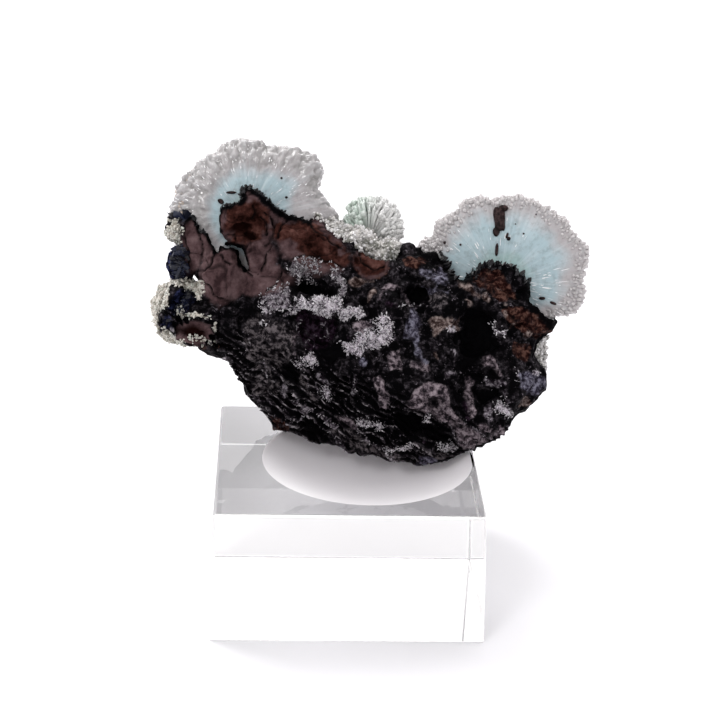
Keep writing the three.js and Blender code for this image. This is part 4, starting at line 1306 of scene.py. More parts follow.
def rock_material():
    """Black, glinting ore with every cover mixed over it."""
    material, tree, shader = start_material("dark_matrix", Specular_IOR_Level=0.015)
    # Crests get the dust tones and hollows stay black: partly dust, partly painted highlight and
    # painted shade.
    dusty_and_lit = stretched(tree, stored(tree, "crest"), -0.7, 0.6, 0, 0.85)
    fine = ramp(tree, grains(tree, 0.5, 5, 0.7), *zip(STOPS["dust_and_light"], DUST_AND_CREST_LIGHT))
    colour = mixed(tree, broken(tree, dusty_and_lit, 0.9), (*BLACK, 1), fine)
    # Pale glint spots, partly pale specks and partly painted sparkle highlights; they are also less
    # rough.
    spots = glints(tree, 0.7, 0.1)
    colour = mixed(tree, spots, colour, (*PAINTED_GLINT, 1))
    # Pale layer edges on the strata crests: partly pale stone, partly painted highlight.
    edges = stretched(tree, stored(tree, "crest"), 0.65, 1.05)
    edges = product(tree, edges, product(tree, stored(tree, "layered"), glints(tree, 1.3, 0.24)))
    colour = mixed(tree, edges, colour, (*LAYER_EDGE_PALE_AND_LIT, 1))
    tone = grains(tree, 0.8, 5, 0.66)
    for name, (size, *shades) in COVERS.items():
        if name in OWN_GRAIN:
            shade = ramp(tree, grains(tree, size, 5, 0.62), *zip(STOPS["own"], shades))
        else:
            shade = ramp(tree, tone, *zip(STOPS["cover"], shades))
        mask = stored(tree, name)
        edge = mask if name in WHOLE else broken(tree, mask, size)
        colour = mixed(tree, edge, colour, shade)
    # Cracks and fold lines on the casts go black: partly dark joints, partly painted shade.
    crack_and_shade = stretched(tree, stored(tree, "away"), 0.05, 0.24, 1, 0)
    crack_and_shade = product(tree, crack_and_shade, stored(tree, "cast"))
    colour = mixed(tree, crack_and_shade, colour, (*CRACK_BLACK_AND_SHADE, 1))
    # Painted shade: the sunk caves on the casts go red-black.
    cave_shade = product(tree, stored(tree, "cave"), stored(tree, "cast"))
    colour = mixed(tree, cave_shade, colour, (*CAVE_RED_SHADE, 1))
    # Black over the sunk hollows (deep) is painted shade; the black rims by the openings and the
    # rock pushed back behind the sprays are black too.
    for name in ("deep", "black_rim", "open"):
        colour = mixed(tree, stored(tree, name), colour, (*BLACK, 1))
    rough = ramp(tree, spots, (0.0, 0.55), (1.0, 0.25))
    rough = mixed(tree, stored(tree, "cast"), rough, (0.8, 0.8, 0.8, 1))
    height = grains(tree, 0.45, 4, 0.7)
    connect(tree, shader, Base_Color=colour, Roughness=rough, Normal=bumps(tree, height, 0.2))
    return material


dark_rock_mesh, rock_masks = rock_mesh()
rock = make_piece("dark_rock", dark_rock_mesh, rock_material(), "dark_matrix", ROCK_NODE)
rock_tree = BVHTree.FromPolygons(
    [vertex.co for vertex in dark_rock_mesh.vertices],
    [face.vertices for face in dark_rock_mesh.polygons])
print("Rock size in mm:", [round(d / MM, 2) for d in rock.dimensions])


def clear_of_rock(places, depth=0.2):
    """Which places stand outside the rock. From each place raised by `depth` millimetres
    towards the front, a line straight up leaves the rock as often as it enters it."""
    up = Vector(TURN[:, 2])
    kept = []
    for place in to_model(places - np.array([0, depth, 0])):
        spot, crossed = Vector(place), 0
        while True:
            hit = rock_tree.ray_cast(spot, up)[0]
            if hit is None:
                break
            crossed += 1
            spot = hit + up * 0.01 * MM
        kept.append(crossed % 2 == 0)
    return np.array(kept)


# %% [markdown]
# ## The sprays
# Hemimorphite grows as fans: fibres start at one root and spread until they end in blunt
# glassy tips. The broken front of a fan shows the fibres lengthwise, pale blue and silky. A
# polar grid fits that well: one parameter goes round the root, the other from the middle of
# the face, out to the rim and over the domed back. Fine radial ridges are part of its shape,
# and so are the rounded bumps near the rim, where the fibres have grown thick and glassy.
# The zones of a face start at shares of its reach, which are listed against the angle.

# %% Spray bodies
LEFT_REACH = [
    (-180, 10.9), (-170, 10.0), (-100, 9.6), (-45, 10.2), (-20, 11.4), (-8, 12.7), (-3, 13.0),
    (5, 12.2), (13, 11.5), (20, 10.8), (24, 10.6), (28, 11.6), (33, 12.5), (40, 13.0),
    (48, 12.9), (60, 11.7), (72, 10.6), (79, 10.9), (91, 11.3), (103, 11.1), (117, 10.3),
    (129, 10.4), (144, 10.2), (157, 10.5), (168, 10.3), (180, 10.9)]
RIGHT_REACH = [
    (-180, 10.6), (-120, 8.4), (-60, 7.8), (-45, 8.0), (-35, 8.4), (-30, 8.8), (-25, 9.9),
    (-20, 11.0), (-14, 11.7), (-8, 11.8), (0, 11.4), (8, 11.8), (13, 12.6), (22, 13.2),
    (28, 13.0), (34, 12.2), (40, 12.7), (48, 12.6), (61, 12.3), (74, 12.5), (83, 12.2),
    (90, 11.8), (96, 11.6), (101, 12.1), (106, 12.7), (113, 12.3), (122, 11.8), (137, 12.1),
    (142, 11.3), (146, 11.2), (151, 12.4), (165, 11.6), (180, 10.6)]
EXTRA = 0.3
SPRAYS = {
    "left": {
        "at": (-18.8, 1.4, 18.2), "reach": LEFT_REACH, "face": 2.6, "back": 7.6,
        "typical": 11.5, "lobing": 0.025,
        "notches": (-40, 23, 50, 76, 88, 100, 115, 125, 135, 149, 163, 180, 215),
        "degrees": (-180, -60, -8, 8, 22, 35, 50, 75, 100, 120, 145, 180),
        "rim": (0.5, 0.56, 0.52, 0.56, 0.68, 0.72, 0.7, 0.68, 0.68, 0.66, 0.6, 0.5),
        "glass": (0.6, 0.93, 0.96, 0.95, 0.94, 0.93, 0.92, 0.92, 0.91, 0.9, 0.86, 0.7),
        "bumps": (0.45, 0.85, 0.9, 0.86, 0.8, 0.74, 0.7, 0.66, 0.66, 0.62, 0.54, 0.45),
        "lumps": 0.42, "tip": {"front": 0.7, "back": 1.0}, "tall": 0.2, "broad": (0.8, 0.2),
        "ridges": (0.10, 0.05),
    },
    "right": {
        "at": (18.2, 0.6, 9.0), "reach": RIGHT_REACH, "face": 0.9, "back": 7.0,
        "typical": 12.0, "lobing": 0.03,
        "notches": (-50, -28, -12, 3, 12, 29, 38, 50, 62, 72, 84, 95, 108, 122, 154, 200),
        "degrees": (-180, -40, 10, 60, 110, 150, 180),
        "rim": (0.86, 0.78, 0.8, 0.86, 0.86, 0.8, 0.86),
        "glass": (0.9, 0.86, 0.87, 0.89, 0.88, 0.8, 0.9),
        "bumps": (0.8,) * 7,
        "lumps": 0.06, "tip": {"front": 0.66, "back": 1.0}, "tall": 0.45, "broad": (0.65, 0.35),
        "ridges": (0.05, 0.04),
    },
}
AROUND = 480
OUTWARD = 60
TURNS = {"coarse": 9, "fine": 42, "fibre": 60}
BUMP = {"sizes": (1.15, 0.7), "round": 0.8, "edge": (-0.03, 0.12), "out": 1.3}


def lobes(angles, notches):
    """1 in the middle of each lobe and 0 at the notches, as half a sine between them."""
    ends = np.array([*notches, notches[0] + 360.0])
    turned = (np.degrees(angles) - ends[0]) % 360 + ends[0]
    place = np.searchsorted(ends, turned, side="right")
    before, after = ends[place - 1], ends[place]
    return np.sin(np.pi * (turned - before) / (after - before))


def by_angle(angles, pairs):
    """A value at each angle, read between the listed pairs of degrees and value."""
    at, value = np.array(pairs).T
    return np.interp((np.degrees(angles) + 180) % 360 - 180, at, value)


def starts(spray, zone, angles):
    """Where a zone of the face starts at each angle, as a share of the fan's radius."""
    return by_angle(angles, list(zip(spray["degrees"], spray[zone])))


def spray_reach(spray, angles):
    """The fan's radius at each angle: its listed reach, a little less at a notch."""
    reach = by_angle(angles, spray["reach"]) + EXTRA
    return reach * (1 - spray["lobing"] * (1 - lobes(angles, spray["notches"])))


def ring_noise(angles, out, turns, seed):
    """Noise that closes round the fan: it is read on a circle whose size sets how fine the
    fibres are, and it changes slowly outwards."""
    circle = np.stack([turns * np.cos(angles), turns * np.sin(angles), 2.5 * out], -1)
    return waves(circle.reshape(-1, 3), 1.0, seed).reshape(angles.shape)


def polar(radius, depth, turn):
    """Points round a root: so far out at an angle of the face's plane, and so far back."""
    return np.stack([radius * np.cos(turn), depth, radius * np.sin(turn)], -1)


def face_depth(spray, out):
    """How far the face stands forward of the root: nearly flat, then quickly back."""
    return spray["face"] * np.clip(1 - out**5, 0, 1) ** 0.6


def spray_body(spray, seed):
    """The polar grid. On the face the height follows a shallow bowl, on the back a quarter
    ellipse, and fibres ride on both as fine radial ridges that are tallest near the rim.
    Round domes in two sizes rise from the face where its glassy bumps start. Besides, the
    share of the way to the rim, the fibres' noise and the glassy grey are worked out; the grey
    is lighter on the dome tops and darker between them, which is painted shade."""
    turn, path = np.meshgrid(2 * np.pi * np.arange(AROUND) / AROUND,
                             (np.arange(OUTWARD) + 0.5) / OUTWARD)
    front = path < 0.5
    out = np.where(front, np.sin(np.pi * path), np.sin(np.pi * (1 - path)))
    dome = np.sqrt(np.clip(1 - out**2, 0, 1))
    radius = spray_reach(spray, turn) * out
    coarse = ring_noise(turn, out, TURNS["coarse"], seed)
    fine = ring_noise(turn, out, TURNS["fine"], seed + 1)
    ridge = (spray["ridges"][0] * coarse + spray["ridges"][1] * fine) * out
    depth = np.where(front, -face_depth(spray, out) + ridge, spray["back"] * dome - ridge)
    smooth = polar(radius, depth, turn).reshape(-1, 3)
    domes = []
    for size in BUMP["sizes"]:
        away = nearest_seed(smooth, size, seed + 5) / BUMP["round"]
        domes.append(np.clip(1 - away**2, 0, 1).reshape(out.shape) * size)
    bumpy = ramp_up(out - starts(spray, "bumps", turn), *BUMP["edge"])
    lump = spray["lumps"] * bumpy * np.sum(domes, axis=0)
    depth = depth - np.where(front, lump, 0)
    radius = radius + BUMP["out"] * lump * out**4
    root = np.array(spray["at"])
    poles = root + np.array([[0, -spray["face"], 0], [0, spray["back"], 0]])
    points = (polar(radius, depth, turn) + root).reshape(-1, 3)
    points = np.concatenate([poles[:1], points, poles[1:]])
    # The grey of the bump zone is lighter on the dome tops and darker between them: painted shade.
    fields = {"zone": out / starts(spray, "rim", turn),
              "fibre": 0.5 * coarse + ring_noise(turn, out, TURNS["fibre"], seed + 2),
              "grey_and_shade": min(4 * spray["lumps"], 1) * bumpy * (1 - 0.5 * domes[0])}
    values = {name: np.r_[0, numbers.ravel(), 0] for name, numbers in fields.items()}
    return points, capped_faces(OUTWARD, AROUND), values


# %% [markdown]
# ## Crystal tips on the rim and back
# The fibres end in blunt glassy tips that crowd the rim and the whole back. Their feet stand
# in rings, each with as many as fit, and are shifted a little at random, so that no row
# shows. Each tip points away from the root, as a fibre does.

# %% Spray tips
ROWS = {"first": 0.4, "apart": 0.8, "behind": 0.86, "stray": 0.25, "stray_behind": 0.2}
TIP_AXES = {"front": -0.45, "back": 0.75, "stray": 0.14}


def rows_of_feet(spray, rng):
    """Feet in rings: across the rim of the face, then over the domed back. Each ring has as
    many as its spacing allows, and every foot is shifted a little at random. Gives angle,
    share of the radius, rise over the back (0 on the face) and spacing."""
    reach, back = spray["typical"], spray["back"]
    near, far = spray["tip"]["front"], spray["tip"]["back"]
    stray = ROWS["stray"] * near / reach
    found = []
    for out in np.arange(ROWS["first"], 1.0, ROWS["apart"] * near / reach):
        count = int(2 * math.pi * reach * out / near)
        turn = 2 * math.pi * (np.arange(count) + rng.random()) / count
        turn = turn + rng.normal(scale=stray, size=count)
        share = np.clip(out + rng.normal(scale=stray, size=count), 0, 1)
        keep = share > starts(spray, "glass", turn) + rng.normal(scale=0.03, size=count)
        found.append(np.c_[turn, share, np.zeros(count), np.full(count, near)][keep])
    rise = 0.0
    while rise < math.pi / 2:
        gap = near + (far - near) * min(1.0, rise * 2.5)
        ring = reach * math.cos(rise)
        count = max(1, int(2 * math.pi * ring / gap))
        turn = 2 * math.pi * (np.arange(count) + rng.random()) / count
        stray = ROWS["stray_behind"]
        turn = turn + rng.normal(scale=stray, size=count) * gap / max(ring, gap)
        up = np.clip(rise + rng.normal(scale=stray * gap / reach, size=count), 0, 1.57)
        found.append(np.c_[turn, np.cos(up), np.sin(up) + 1e-6, np.full(count, gap)])
        step = ROWS["behind"] * gap
        rise += step / math.hypot(reach * math.sin(rise), back * math.cos(rise))
    return np.concatenate(found)


def spray_tips(spray, rng):
    """Feet, axes away from the root, lengths and widths. On the face the tips grow larger
    towards the rim."""
    turn, out, rise, gap = rows_of_feet(spray, rng).T
    behind = rise > 0
    radius = spray_reach(spray, turn) * out
    depth = np.where(behind, spray["back"] * rise, -face_depth(spray, out))
    feet = polar(radius, depth, turn)
    lean = np.where(behind, TIP_AXES["back"] * depth, TIP_AXES["front"] * radius)
    axes = np.stack([feet[:, 0], lean, feet[:, 2]], -1)
    axes = unit(axes + rng.normal(scale=TIP_AXES["stray"], size=axes.shape) * radius.max())
    big = np.where(behind, 1, ramp_up(out / starts(spray, "glass", turn), 0.95, 1.25))
    size = rng.uniform(0.8, 1.25, len(feet))
    lengths = gap * (spray["tall"] + 0.6 * big) * size
    least, more = spray["broad"]
    widths = gap * (least + more * big) * rng.uniform(0.7, 1.25, len(feet))
    return feet + np.array(spray["at"]), axes, lengths, widths


# %% [markdown]
# ## Finishes of the sprays
# The silky face scatters light inside, so it gets subsurface scattering, green-blue at the
# root, sky blue in the middle and greyish lilac near the rim, with paler fibres. Its bumps
# are grey under a clear coat, darker between the domes as painted shade. The tips are part
# clear and part cloudy, with hemimorphite's refractive index of about 1.62.

# %% Spray materials
ROOT_GREEN = (0.33, 0.50, 0.46)
SKY_BLUE = (0.41, 0.53, 0.57)
RIM_LILAC = (0.47, 0.445, 0.455)
CRYSTAL_INDEX = 1.62
# Glassy grey of the rim's bump zone: partly the crystals' own tone, partly painted shade between
# the domes.
GLASS_GREY_AND_SHADE = (0.30, 0.29, 0.285)
FIBRE_PALE = (0.74, 0.80, 0.82)
CLEAR = (0.88, 0.84, 0.84)
STAIN = (0.85, 0.62, 0.42)


def silk_material():
    """The broken, fibrous face of a spray: green-blue at the root, lilac from the rim on,
    and grey, coated and bumpier where the stored grey is high. The grey is darker between the
    bumps' domes, which is painted shade."""
    material, tree, shader = start_material(
        "blue_silk", Roughness=0.4, Subsurface_Weight=0.5, Subsurface_Scale=1.2 * MM,
        Subsurface_Radius=(0.9, 1.0, 1.0), IOR=1.5, Specular_IOR_Level=0.35,
        Coat_Roughness=0.06, Coat_IOR=1.7)
    place = maths(tree, "MULTIPLY", stored(tree, "zone"), 0.8)
    place = maths(tree, "MULTIPLY_ADD", grains(tree, 2.0), 0.2, place)
    base = ramp(tree, place, (0.28, ROOT_GREEN), (0.5, SKY_BLUE), (0.74, SKY_BLUE),
                (0.94, RIM_LILAC))
    pale = stretched(tree, stored(tree, "fibre"), -0.2, 1.3, 0, 0.35)
    colour = mixed(tree, pale, base, (*FIBRE_PALE, 1))
    cloud = ramp(tree, grains(tree, 0.9, 5, 0.68), (0.36, 0.78), (0.5, 0.97), (0.64, 1.0))
    colour = mixed(tree, 1.0, colour, cloud, "MULTIPLY")
    # Grey over the bump zone, darker between the domes: partly own tone, partly painted shade.
    colour = mixed(tree, stored(tree, "grey_and_shade"), colour, (*GLASS_GREY_AND_SHADE, 1))
    rise = maths(tree, "MULTIPLY_ADD", stored(tree, "grey_and_shade"), 2.6, 0.4)
    height = product(tree, grains(tree, 0.4, 3), rise)
    rough = ramp(tree, place, (0.75, 0.4), (1.0, 0.12))
    connect(tree, shader, Base_Color=colour, Roughness=rough, Coat_Weight=stored(tree, "grey_and_shade"),
            Normal=bumps(tree, height, 0.08))
    return material


def glass_tips(name, clear, stained, through=0.3, cloudy=0.5):
    """Glassy crystals, more or less cloudy inside: part plain transmission and part
    scattering, clear or stained by their stored tint, and lighter or darker by their shade."""
    material, tree, shader = start_material(
        name, Roughness=0.08, IOR=CRYSTAL_INDEX, Transmission_Weight=through,
        Subsurface_Weight=cloudy, Subsurface_Scale=1.1 * MM, Subsurface_Radius=(1, 1, 1))
    colour = mixed(tree, stored(tree, "tint"), (*clear, 1), (*stained, 1))
    shade = ramp(tree, stored(tree, "shade"), (0.0, 0.8), (0.5, 0.95), (1.0, 1.0))
    colour = mixed(tree, 1.0, colour, shade, "MULTIPLY")
    connect(tree, shader, Base_Color=colour)
    return material


silk = silk_material()
tips_glass = glass_tips("lilac_tips", CLEAR, STAIN, through=0.45, cloudy=0.35)


def make_spray(side, seed, node_name):
    """A spray's body and its tips, as two pieces; the body stands for the CAD node."""
    spray = SPRAYS[side]
    rng = np.random.default_rng(seed)
    points, faces, values = spray_body(spray, seed)
    body_mesh = build_mesh(f"{side}_spray", boxed(to_model(points)), faces)
    give(body_mesh, **values)
    make_piece(f"{side}_spray", body_mesh, silk, "blue_spray", node_name)
    feet, axes, lengths, widths = spray_tips(spray, rng)
    free = clear_of_rock(feet)
    feet, axes = feet[free], axes[free]
    name = f"{side}_spray_tips"
    mesh = crystal_mesh(name, BUD, feet, axes, lengths[free], widths[free], rng)
    stain = ramp_up(-feet[:, 0], 26, 28.5) * rng.random(len(feet))
    give(mesh, tint=each(BUD, stain), shade=each(BUD, rng.random(len(feet))))
    make_piece(name, mesh, tips_glass, "blue_spray")


make_spray("left", 11, "left_fan")
make_spray("right", 23, "right_fan")

# %% [markdown]
# ## The tail of the right spray
# A smaller growth hangs on the right fan's inner side, a small bunch of bubbly tips. It is a
# gently uneven ellipsoid with tips all over it. Each tip's direction is a golden angle on from
# the last, which spreads them evenly.

# %% Right tail
TAIL = {"at": (8.3, 1.6, 14.0), "radii": (1.7, 1.5, 1.4), "tilt": -25, "tips": 100}
GOLDEN = math.pi * (3 - math.sqrt(5))


def ellipsoid(at, radii, tilt=0, around=72, rows=36, rough=0.0, seed=0):
    """A rough closed ellipsoid: a sphere's grid, stretched, turned about Y and placed."""
    angle, rise = np.meshgrid(2 * np.pi * np.arange(around) / around,
                              np.pi * (np.arange(rows) + 0.5) / rows)
    ball = np.stack([np.sin(rise) * np.cos(angle), -np.cos(rise), np.sin(rise) * np.sin(angle)], -1)
    ball = np.concatenate([[[0, -1, 0]], ball.reshape(-1, 3), [[0, 1, 0]]])
    points = ball * np.array(radii)
    points = points * (1 + rough * layers(points, 1.2, 3, seed))[:, None]
    spin = turning("Y", tilt)
    return points @ spin.T + np.array(at), capped_faces(rows, around)


def golden_directions(count):
    """Directions spread evenly over a sphere, each a golden angle on from the last."""
    index = np.arange(count) + 0.5
    height = 1 - 2 * index / count
    level = np.sqrt(1 - height**2)
    return polar(level, height, GOLDEN * index)


def make_tail():
    """The ellipsoid and the tips on it."""
    rng = np.random.default_rng(31)
    points, faces = ellipsoid(TAIL["at"], TAIL["radii"], TAIL["tilt"], rough=0.05, seed=6)
    mesh = build_mesh("right_tail", to_model(points), faces)
    give(mesh, zone=np.ones(len(points)))
    make_piece("right_tail", mesh, silk, "blue_spray")
    ways = golden_directions(TAIL["tips"])
    spin = turning("Y", TAIL["tilt"])
    feet = (ways * np.array(TAIL["radii"])) @ spin.T + np.array(TAIL["at"])
    axes = unit(ways @ spin.T + rng.normal(scale=0.1, size=ways.shape))
    free = clear_of_rock(feet)
    feet, axes = feet[free], axes[free]
    count = len(feet)
    mesh = crystal_mesh("right_tail_tips", BUD, feet, axes, rng.uniform(0.5, 0.9, count),
                        rng.uniform(0.5, 0.8, count), rng)
    give(mesh, shade=each(BUD, rng.random(count)))
    make_piece("right_tail_tips", mesh, tips_glass, "blue_spray")


make_tail()

# %% [markdown]
# ## The middle spray
# Between the fans stands a small open bunch of clear, pale green prisms. Here every crystal
# shows from root to tip, so the whole spray is a few hundred columns that leave one root in
# a half circle. Those on the left are the greenest, and over half of them end in a bud.

# %% Middle spray
MIDDLE = {"root": (-1.0, 3.0, 14.9), "middle": (-0.4, 3.0, 17.6), "reach": 5.0, "count": 480,
          "degrees": (-38, 205), "lobing": 0.1, "depth": 2.6, "gap": 0.12, "budded": 0.6}
COLUMN_WIDE = (0.35, 0.75)
BUD_WIDE = (0.4, 0.95)
WATER_CLEAR = (1.0, 1.0, 0.98)
COLUMN_GREEN = (0.74, 0.90, 0.79)
BUD_GREEN = (0.76, 0.91, 0.80)


def make_middle_spray():
    """Columns from one root to an outline: a circle with lobes, its middle above the root.
    They lean to the front and back like a dome."""
    rng = np.random.default_rng(37)
    count = MIDDLE["count"]
    angle = np.radians(rng.uniform(*MIDDLE["degrees"], count))
    lean = rng.uniform(-1, 1, count)
    reach = MIDDLE["reach"] * (1 - MIDDLE["lobing"] * np.abs(np.sin(2.6 * angle + 0.5)))
    reach = reach * np.sqrt(1 - 0.8 * lean**2) * rng.uniform(0.86, 1.0, count)
    root = np.array(MIDDLE["root"])
    ends = polar(reach, MIDDLE["depth"] * lean, angle) + np.array(MIDDLE["middle"])
    way = ends - root
    long = np.linalg.norm(way, axis=1)
    axes = way / long[:, None]
    gap = MIDDLE["gap"]
    mesh = crystal_mesh("middle_spray", COLUMN, root + gap * way, axes, (1 - gap) * long,
                        rng.uniform(*COLUMN_WIDE, count), rng)
    green = 0.95 * (1 - ramp_up(axes[:, 0], -0.4, 0.4))
    give(mesh, tint=each(COLUMN, green), shade=each(COLUMN, rng.random(count)))
    glass = glass_tips("green_columns", WATER_CLEAR, COLUMN_GREEN, 0.15, 0.6)
    make_piece("middle_spray", mesh, glass, "green_spray", "middle_fan")
    outer = rng.random(count) < MIDDLE["budded"]
    ends, axes, wide = ends[outer], axes[outer], rng.uniform(*BUD_WIDE, outer.sum())
    mesh = crystal_mesh("middle_spray_tips", BUD, ends - axes * 0.5, axes, 0.7 * wide, wide, rng)
    give(mesh, tint=each(BUD, green[outer] * 0.8), shade=each(BUD, rng.random(len(ends))))
    glass = glass_tips("green_tips", WATER_CLEAR, BUD_GREEN, 0.35, 0.4)
    make_piece("middle_spray_tips", mesh, glass, "green_spray")


make_middle_spray()

# %% [markdown]
# ## Crusts of small crystals
# White druse covers the crest and the stone's back, a tan crust rings the hollows on the
# left, and clear crystals sit on the right side. Each crust is a softened copy of its packed
# piece with a dense coat of grains, which are scattered by area and point outwards. Two more
# coats go on the rock itself: tan round the hollows and white along the crest.

# %% Crusts
CRUST_VOXEL = 0.35
CRUST_SMOOTHING = 4
SPECK = 0.3
LUMP = {"long": 0.45, "wide": 0.5}


def crust_material(name, dark, pale, stain, through=0.08, rough=0.3):
    """A granular, partly see-through crust, uneven in tone."""
    material, tree, shader = start_material(
        name, Roughness=rough, IOR=1.6, Transmission_Weight=through, Subsurface_Weight=0.5,
        Subsurface_Scale=0.6 * MM, Subsurface_Radius=(1, 1, 1))
    tone = ramp(tree, grains(tree, 1.4, 4, 0.65), (0.42, dark), (0.55, pale))
    colour = mixed(tree, stored(tree, "tint"), tone, (*stain, 1))
    connect(tree, shader, Base_Color=colour)
    return material


def make_crust(name, node_name, material, slot, spacing, seed, size=1.0, beside=False):
    """The softened copy and its coat of grains. A crust beside the rock keeps every grain,
    and is brought in to the rock's outline."""
    rng = np.random.default_rng(seed)
    base = copy_of(node_name, CRUST_VOXEL, CRUST_SMOOTHING)
    if beside:
        move_to(base, trim(to_specimen(mesh_arrays(base)[0])))
    make_piece(name, base, material, slot, node_name)
    everywhere = np.ones(len(base.vertices)) if beside else None
    coat(name, base, material, slot, spacing, size, rng, everywhere)


def coat(name, base, material, slot, spacing, size, rng, share=None):
    """Grains all over a mesh, or where the share stored at its vertices allows, in sizes
    from specks to lumps. Where no share is given, those that would start inside the rock are
    left out."""
    feet, facing = spread_on(base, spacing, rng, share)
    if share is None:
        free = clear_of_rock(feet)
        feet, facing = feet[free], facing[free]
    axes = unit(facing + rng.normal(scale=0.5, size=feet.shape))
    count = len(feet)
    big = rng.random(count) ** 2
    long, wide = (size * (SPECK + LUMP[side] * big) for side in ("long", "wide"))
    mesh = crystal_mesh(f"{name}_grains", GRAIN, feet, axes, long, wide, rng, smooth=False)
    give(mesh, tint=each(GRAIN, rng.random(count) ** 2))
    make_piece(f"{name}_grains", mesh, material, slot)


white_druse = crust_material("white_druse", (0.20, 0.20, 0.17), (0.84, 0.81, 0.78),
                             (0.95, 0.93, 0.94), through=0.3, rough=0.14)
tan_crust = crust_material("tan_crust", (0.40, 0.37, 0.32), (0.66, 0.62, 0.56),
                           (0.52, 0.54, 0.48))
make_crust("crest_crust_body", "crest_crust", white_druse, "white_druse", 0.44, 61, 0.82)
make_crust("rosette_crust", "left_rosette", tan_crust, "tan_crust", 0.36, 63, 0.62)
make_crust("side_crust", "side_cluster", white_druse, "white_druse", 0.28, 67, 0.9,
           beside=True)
coat("left_edge", dark_rock_mesh, tan_crust, "tan_crust", 0.3, 0.62,
     np.random.default_rng(69), rock_masks["tan"])
coat("crest_edge", dark_rock_mesh, white_druse, "white_druse", 0.3, 0.8,
     np.random.default_rng(73), rock_masks["snow"])

# %% [markdown]
# ## Druse on the rock's face
# White and lilac crystals line the hollow on the upper left and spread in patches over the
# front. They are four-sided needles, thickest where the rock's white or lilac value is high,
# and thinned out on the right and at the far left. In the white patches most are pale, and
# elsewhere most are dark.

# %% Druse on the rock
DRUSE = {"spacing": 0.19, "lilac": 0.36, "lilac_above": 0.26, "thinned": 0.8, "far_left": 0.85}
NEEDLE_LONG = (0.15, 0.34)
NEEDLE_WIDE = (0.09, 0.17)


def make_rock_druse():
    """Needles on the rock, by its white and lilac values."""
    rng = np.random.default_rng(71)
    high = ramp_up(to_specimen(mesh_arrays(dark_rock_mesh)[0])[:, 2], 1.5, 4.5)
    lilac = (DRUSE["lilac"] + DRUSE["lilac_above"] * high) * rock_masks["lilac"]
    share = ramp_up(rock_masks["white"] + lilac, 0.2, 0.85) * (1 - rock_masks["open"])
    feet, facing = spread_on(dark_rock_mesh, DRUSE["spacing"], rng, share)
    right = ramp_up(feet[:, 0], 5, 7)
    beside = np.maximum(right * ramp_up(feet[:, 2], -7, -5),
                        DRUSE["far_left"] * ramp_up(-feet[:, 0], 11.5, 13))
    kept = rng.random(len(feet)) > DRUSE["thinned"] * beside
    feet, facing, right = feet[kept], facing[kept], right[kept]
    pale = field(feet, FIELDS["white"], 43) * (1 - 0.5 * right)
    axes = unit(facing + rng.normal(scale=0.6, size=feet.shape))
    count = len(feet)
    size = rng.uniform(0.2, 1.0, count) ** 2 * (0.5 + 0.5 * ramp_up(feet[:, 2], -2, 3))
    long, wide = (least + more * size for least, more in (NEEDLE_LONG, NEEDLE_WIDE))
    mesh = crystal_mesh("rock_druse", NEEDLE, feet, axes, long, wide, rng, smooth=False)
    dark = rng.random(count) ** (0.4 + 1.2 * pale)
    give(mesh, tint=each(NEEDLE, dark), shade=each(NEEDLE, rng.random(count)))
    glass = glass_tips("rock_druse", (0.93, 0.88, 0.93), (0.05, 0.04, 0.05), through=0.05)
    make_piece("rock_druse", mesh, glass, "white_druse")


make_rock_druse()

# %% [markdown]
# ## The slab below the left casts
# A low piece of the ore sticks out under the casts at the left end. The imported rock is
# thinner there, so a rough ellipsoid with the rock's own finish fills it.

# %% Left slab
SLAB = {"at": (-22.9, 3.4, -0.3), "radii": (3.4, 2.6, 1.5), "tilt": 14, "rough": 0.12}


def make_slab():
    """The ellipsoid, moved by the same folded noise as the rock."""
    points, faces = ellipsoid(SLAB["at"], SLAB["radii"], SLAB["tilt"], 120, 60,
                              SLAB["rough"], 101)
    crest = creases(points, 1.5, 3, 9)
    points = trim(points + 0.25 * crest[:, None] * unit(points - np.array(SLAB["at"])))
    mesh = build_mesh("left_slab", to_model(points), faces)
    give(mesh, crest=crest, rust=0.7 * ramp_up(crest, -0.2, 0.6), away=np.full(len(points), FAR))
    make_piece("left_slab", mesh, rock.data.materials[0], "dark_matrix")


make_slab()

# %% [markdown]
# ## Black blades
# Thin black plates stand along the broken edges of the casts, on the knob in front of the
# right spray and at the left end, where they are navy. They are four-sided blades on the
# rock along drawn lines; each foot is found by looking at the rock from the front.

# %% Blades
# A row is a line, a count, the width of the band, least and greatest length, and an angle.
BLADES = [
    (LEFT_EDGE[12:17], 70, 0.4, (0.3, 0.65), 60),
    (LEFT_EDGE[16:], 50, 0.3, (0.2, 0.5), 60),
    (LEFT_EDGE[10:13], 40, 0.3, (0.3, 0.6), 110),
    (LEFT_EDGE[:4], 30, 0.3, (0.3, 0.8), 100),
    (RIGHT_EDGE[8:16], 80, 0.9, (0.4, 0.9), 80),
    (RIGHT_EDGE[2:7], 50, 0.4, (0.4, 0.9), 50),
    ([(-27.9, 13.8), (-28.1, 12.2), (-27.8, 10.6)], 90, 0.8, (0.7, 1.5), 185),
    ([(-29.4, 19.0), (-28.0, 18.6), (-27.0, 18.8)], 60, 0.5, (0.7, 1.6), 165),
    ([(-26.8, 7.6), (-27.8, 6.0), (-28.9, 4.7)], 60, 0.6, (0.3, 0.8), 150),
    ([(-29.9, 3.8), (-30.3, 2.6)], 22, 0.4, (0.3, 0.7), 160),
]
STRAY = 38
BLADE_BLACK = (0.004, 0.0035, 0.005)
BLADE_NAVY = (0.010, 0.014, 0.034)


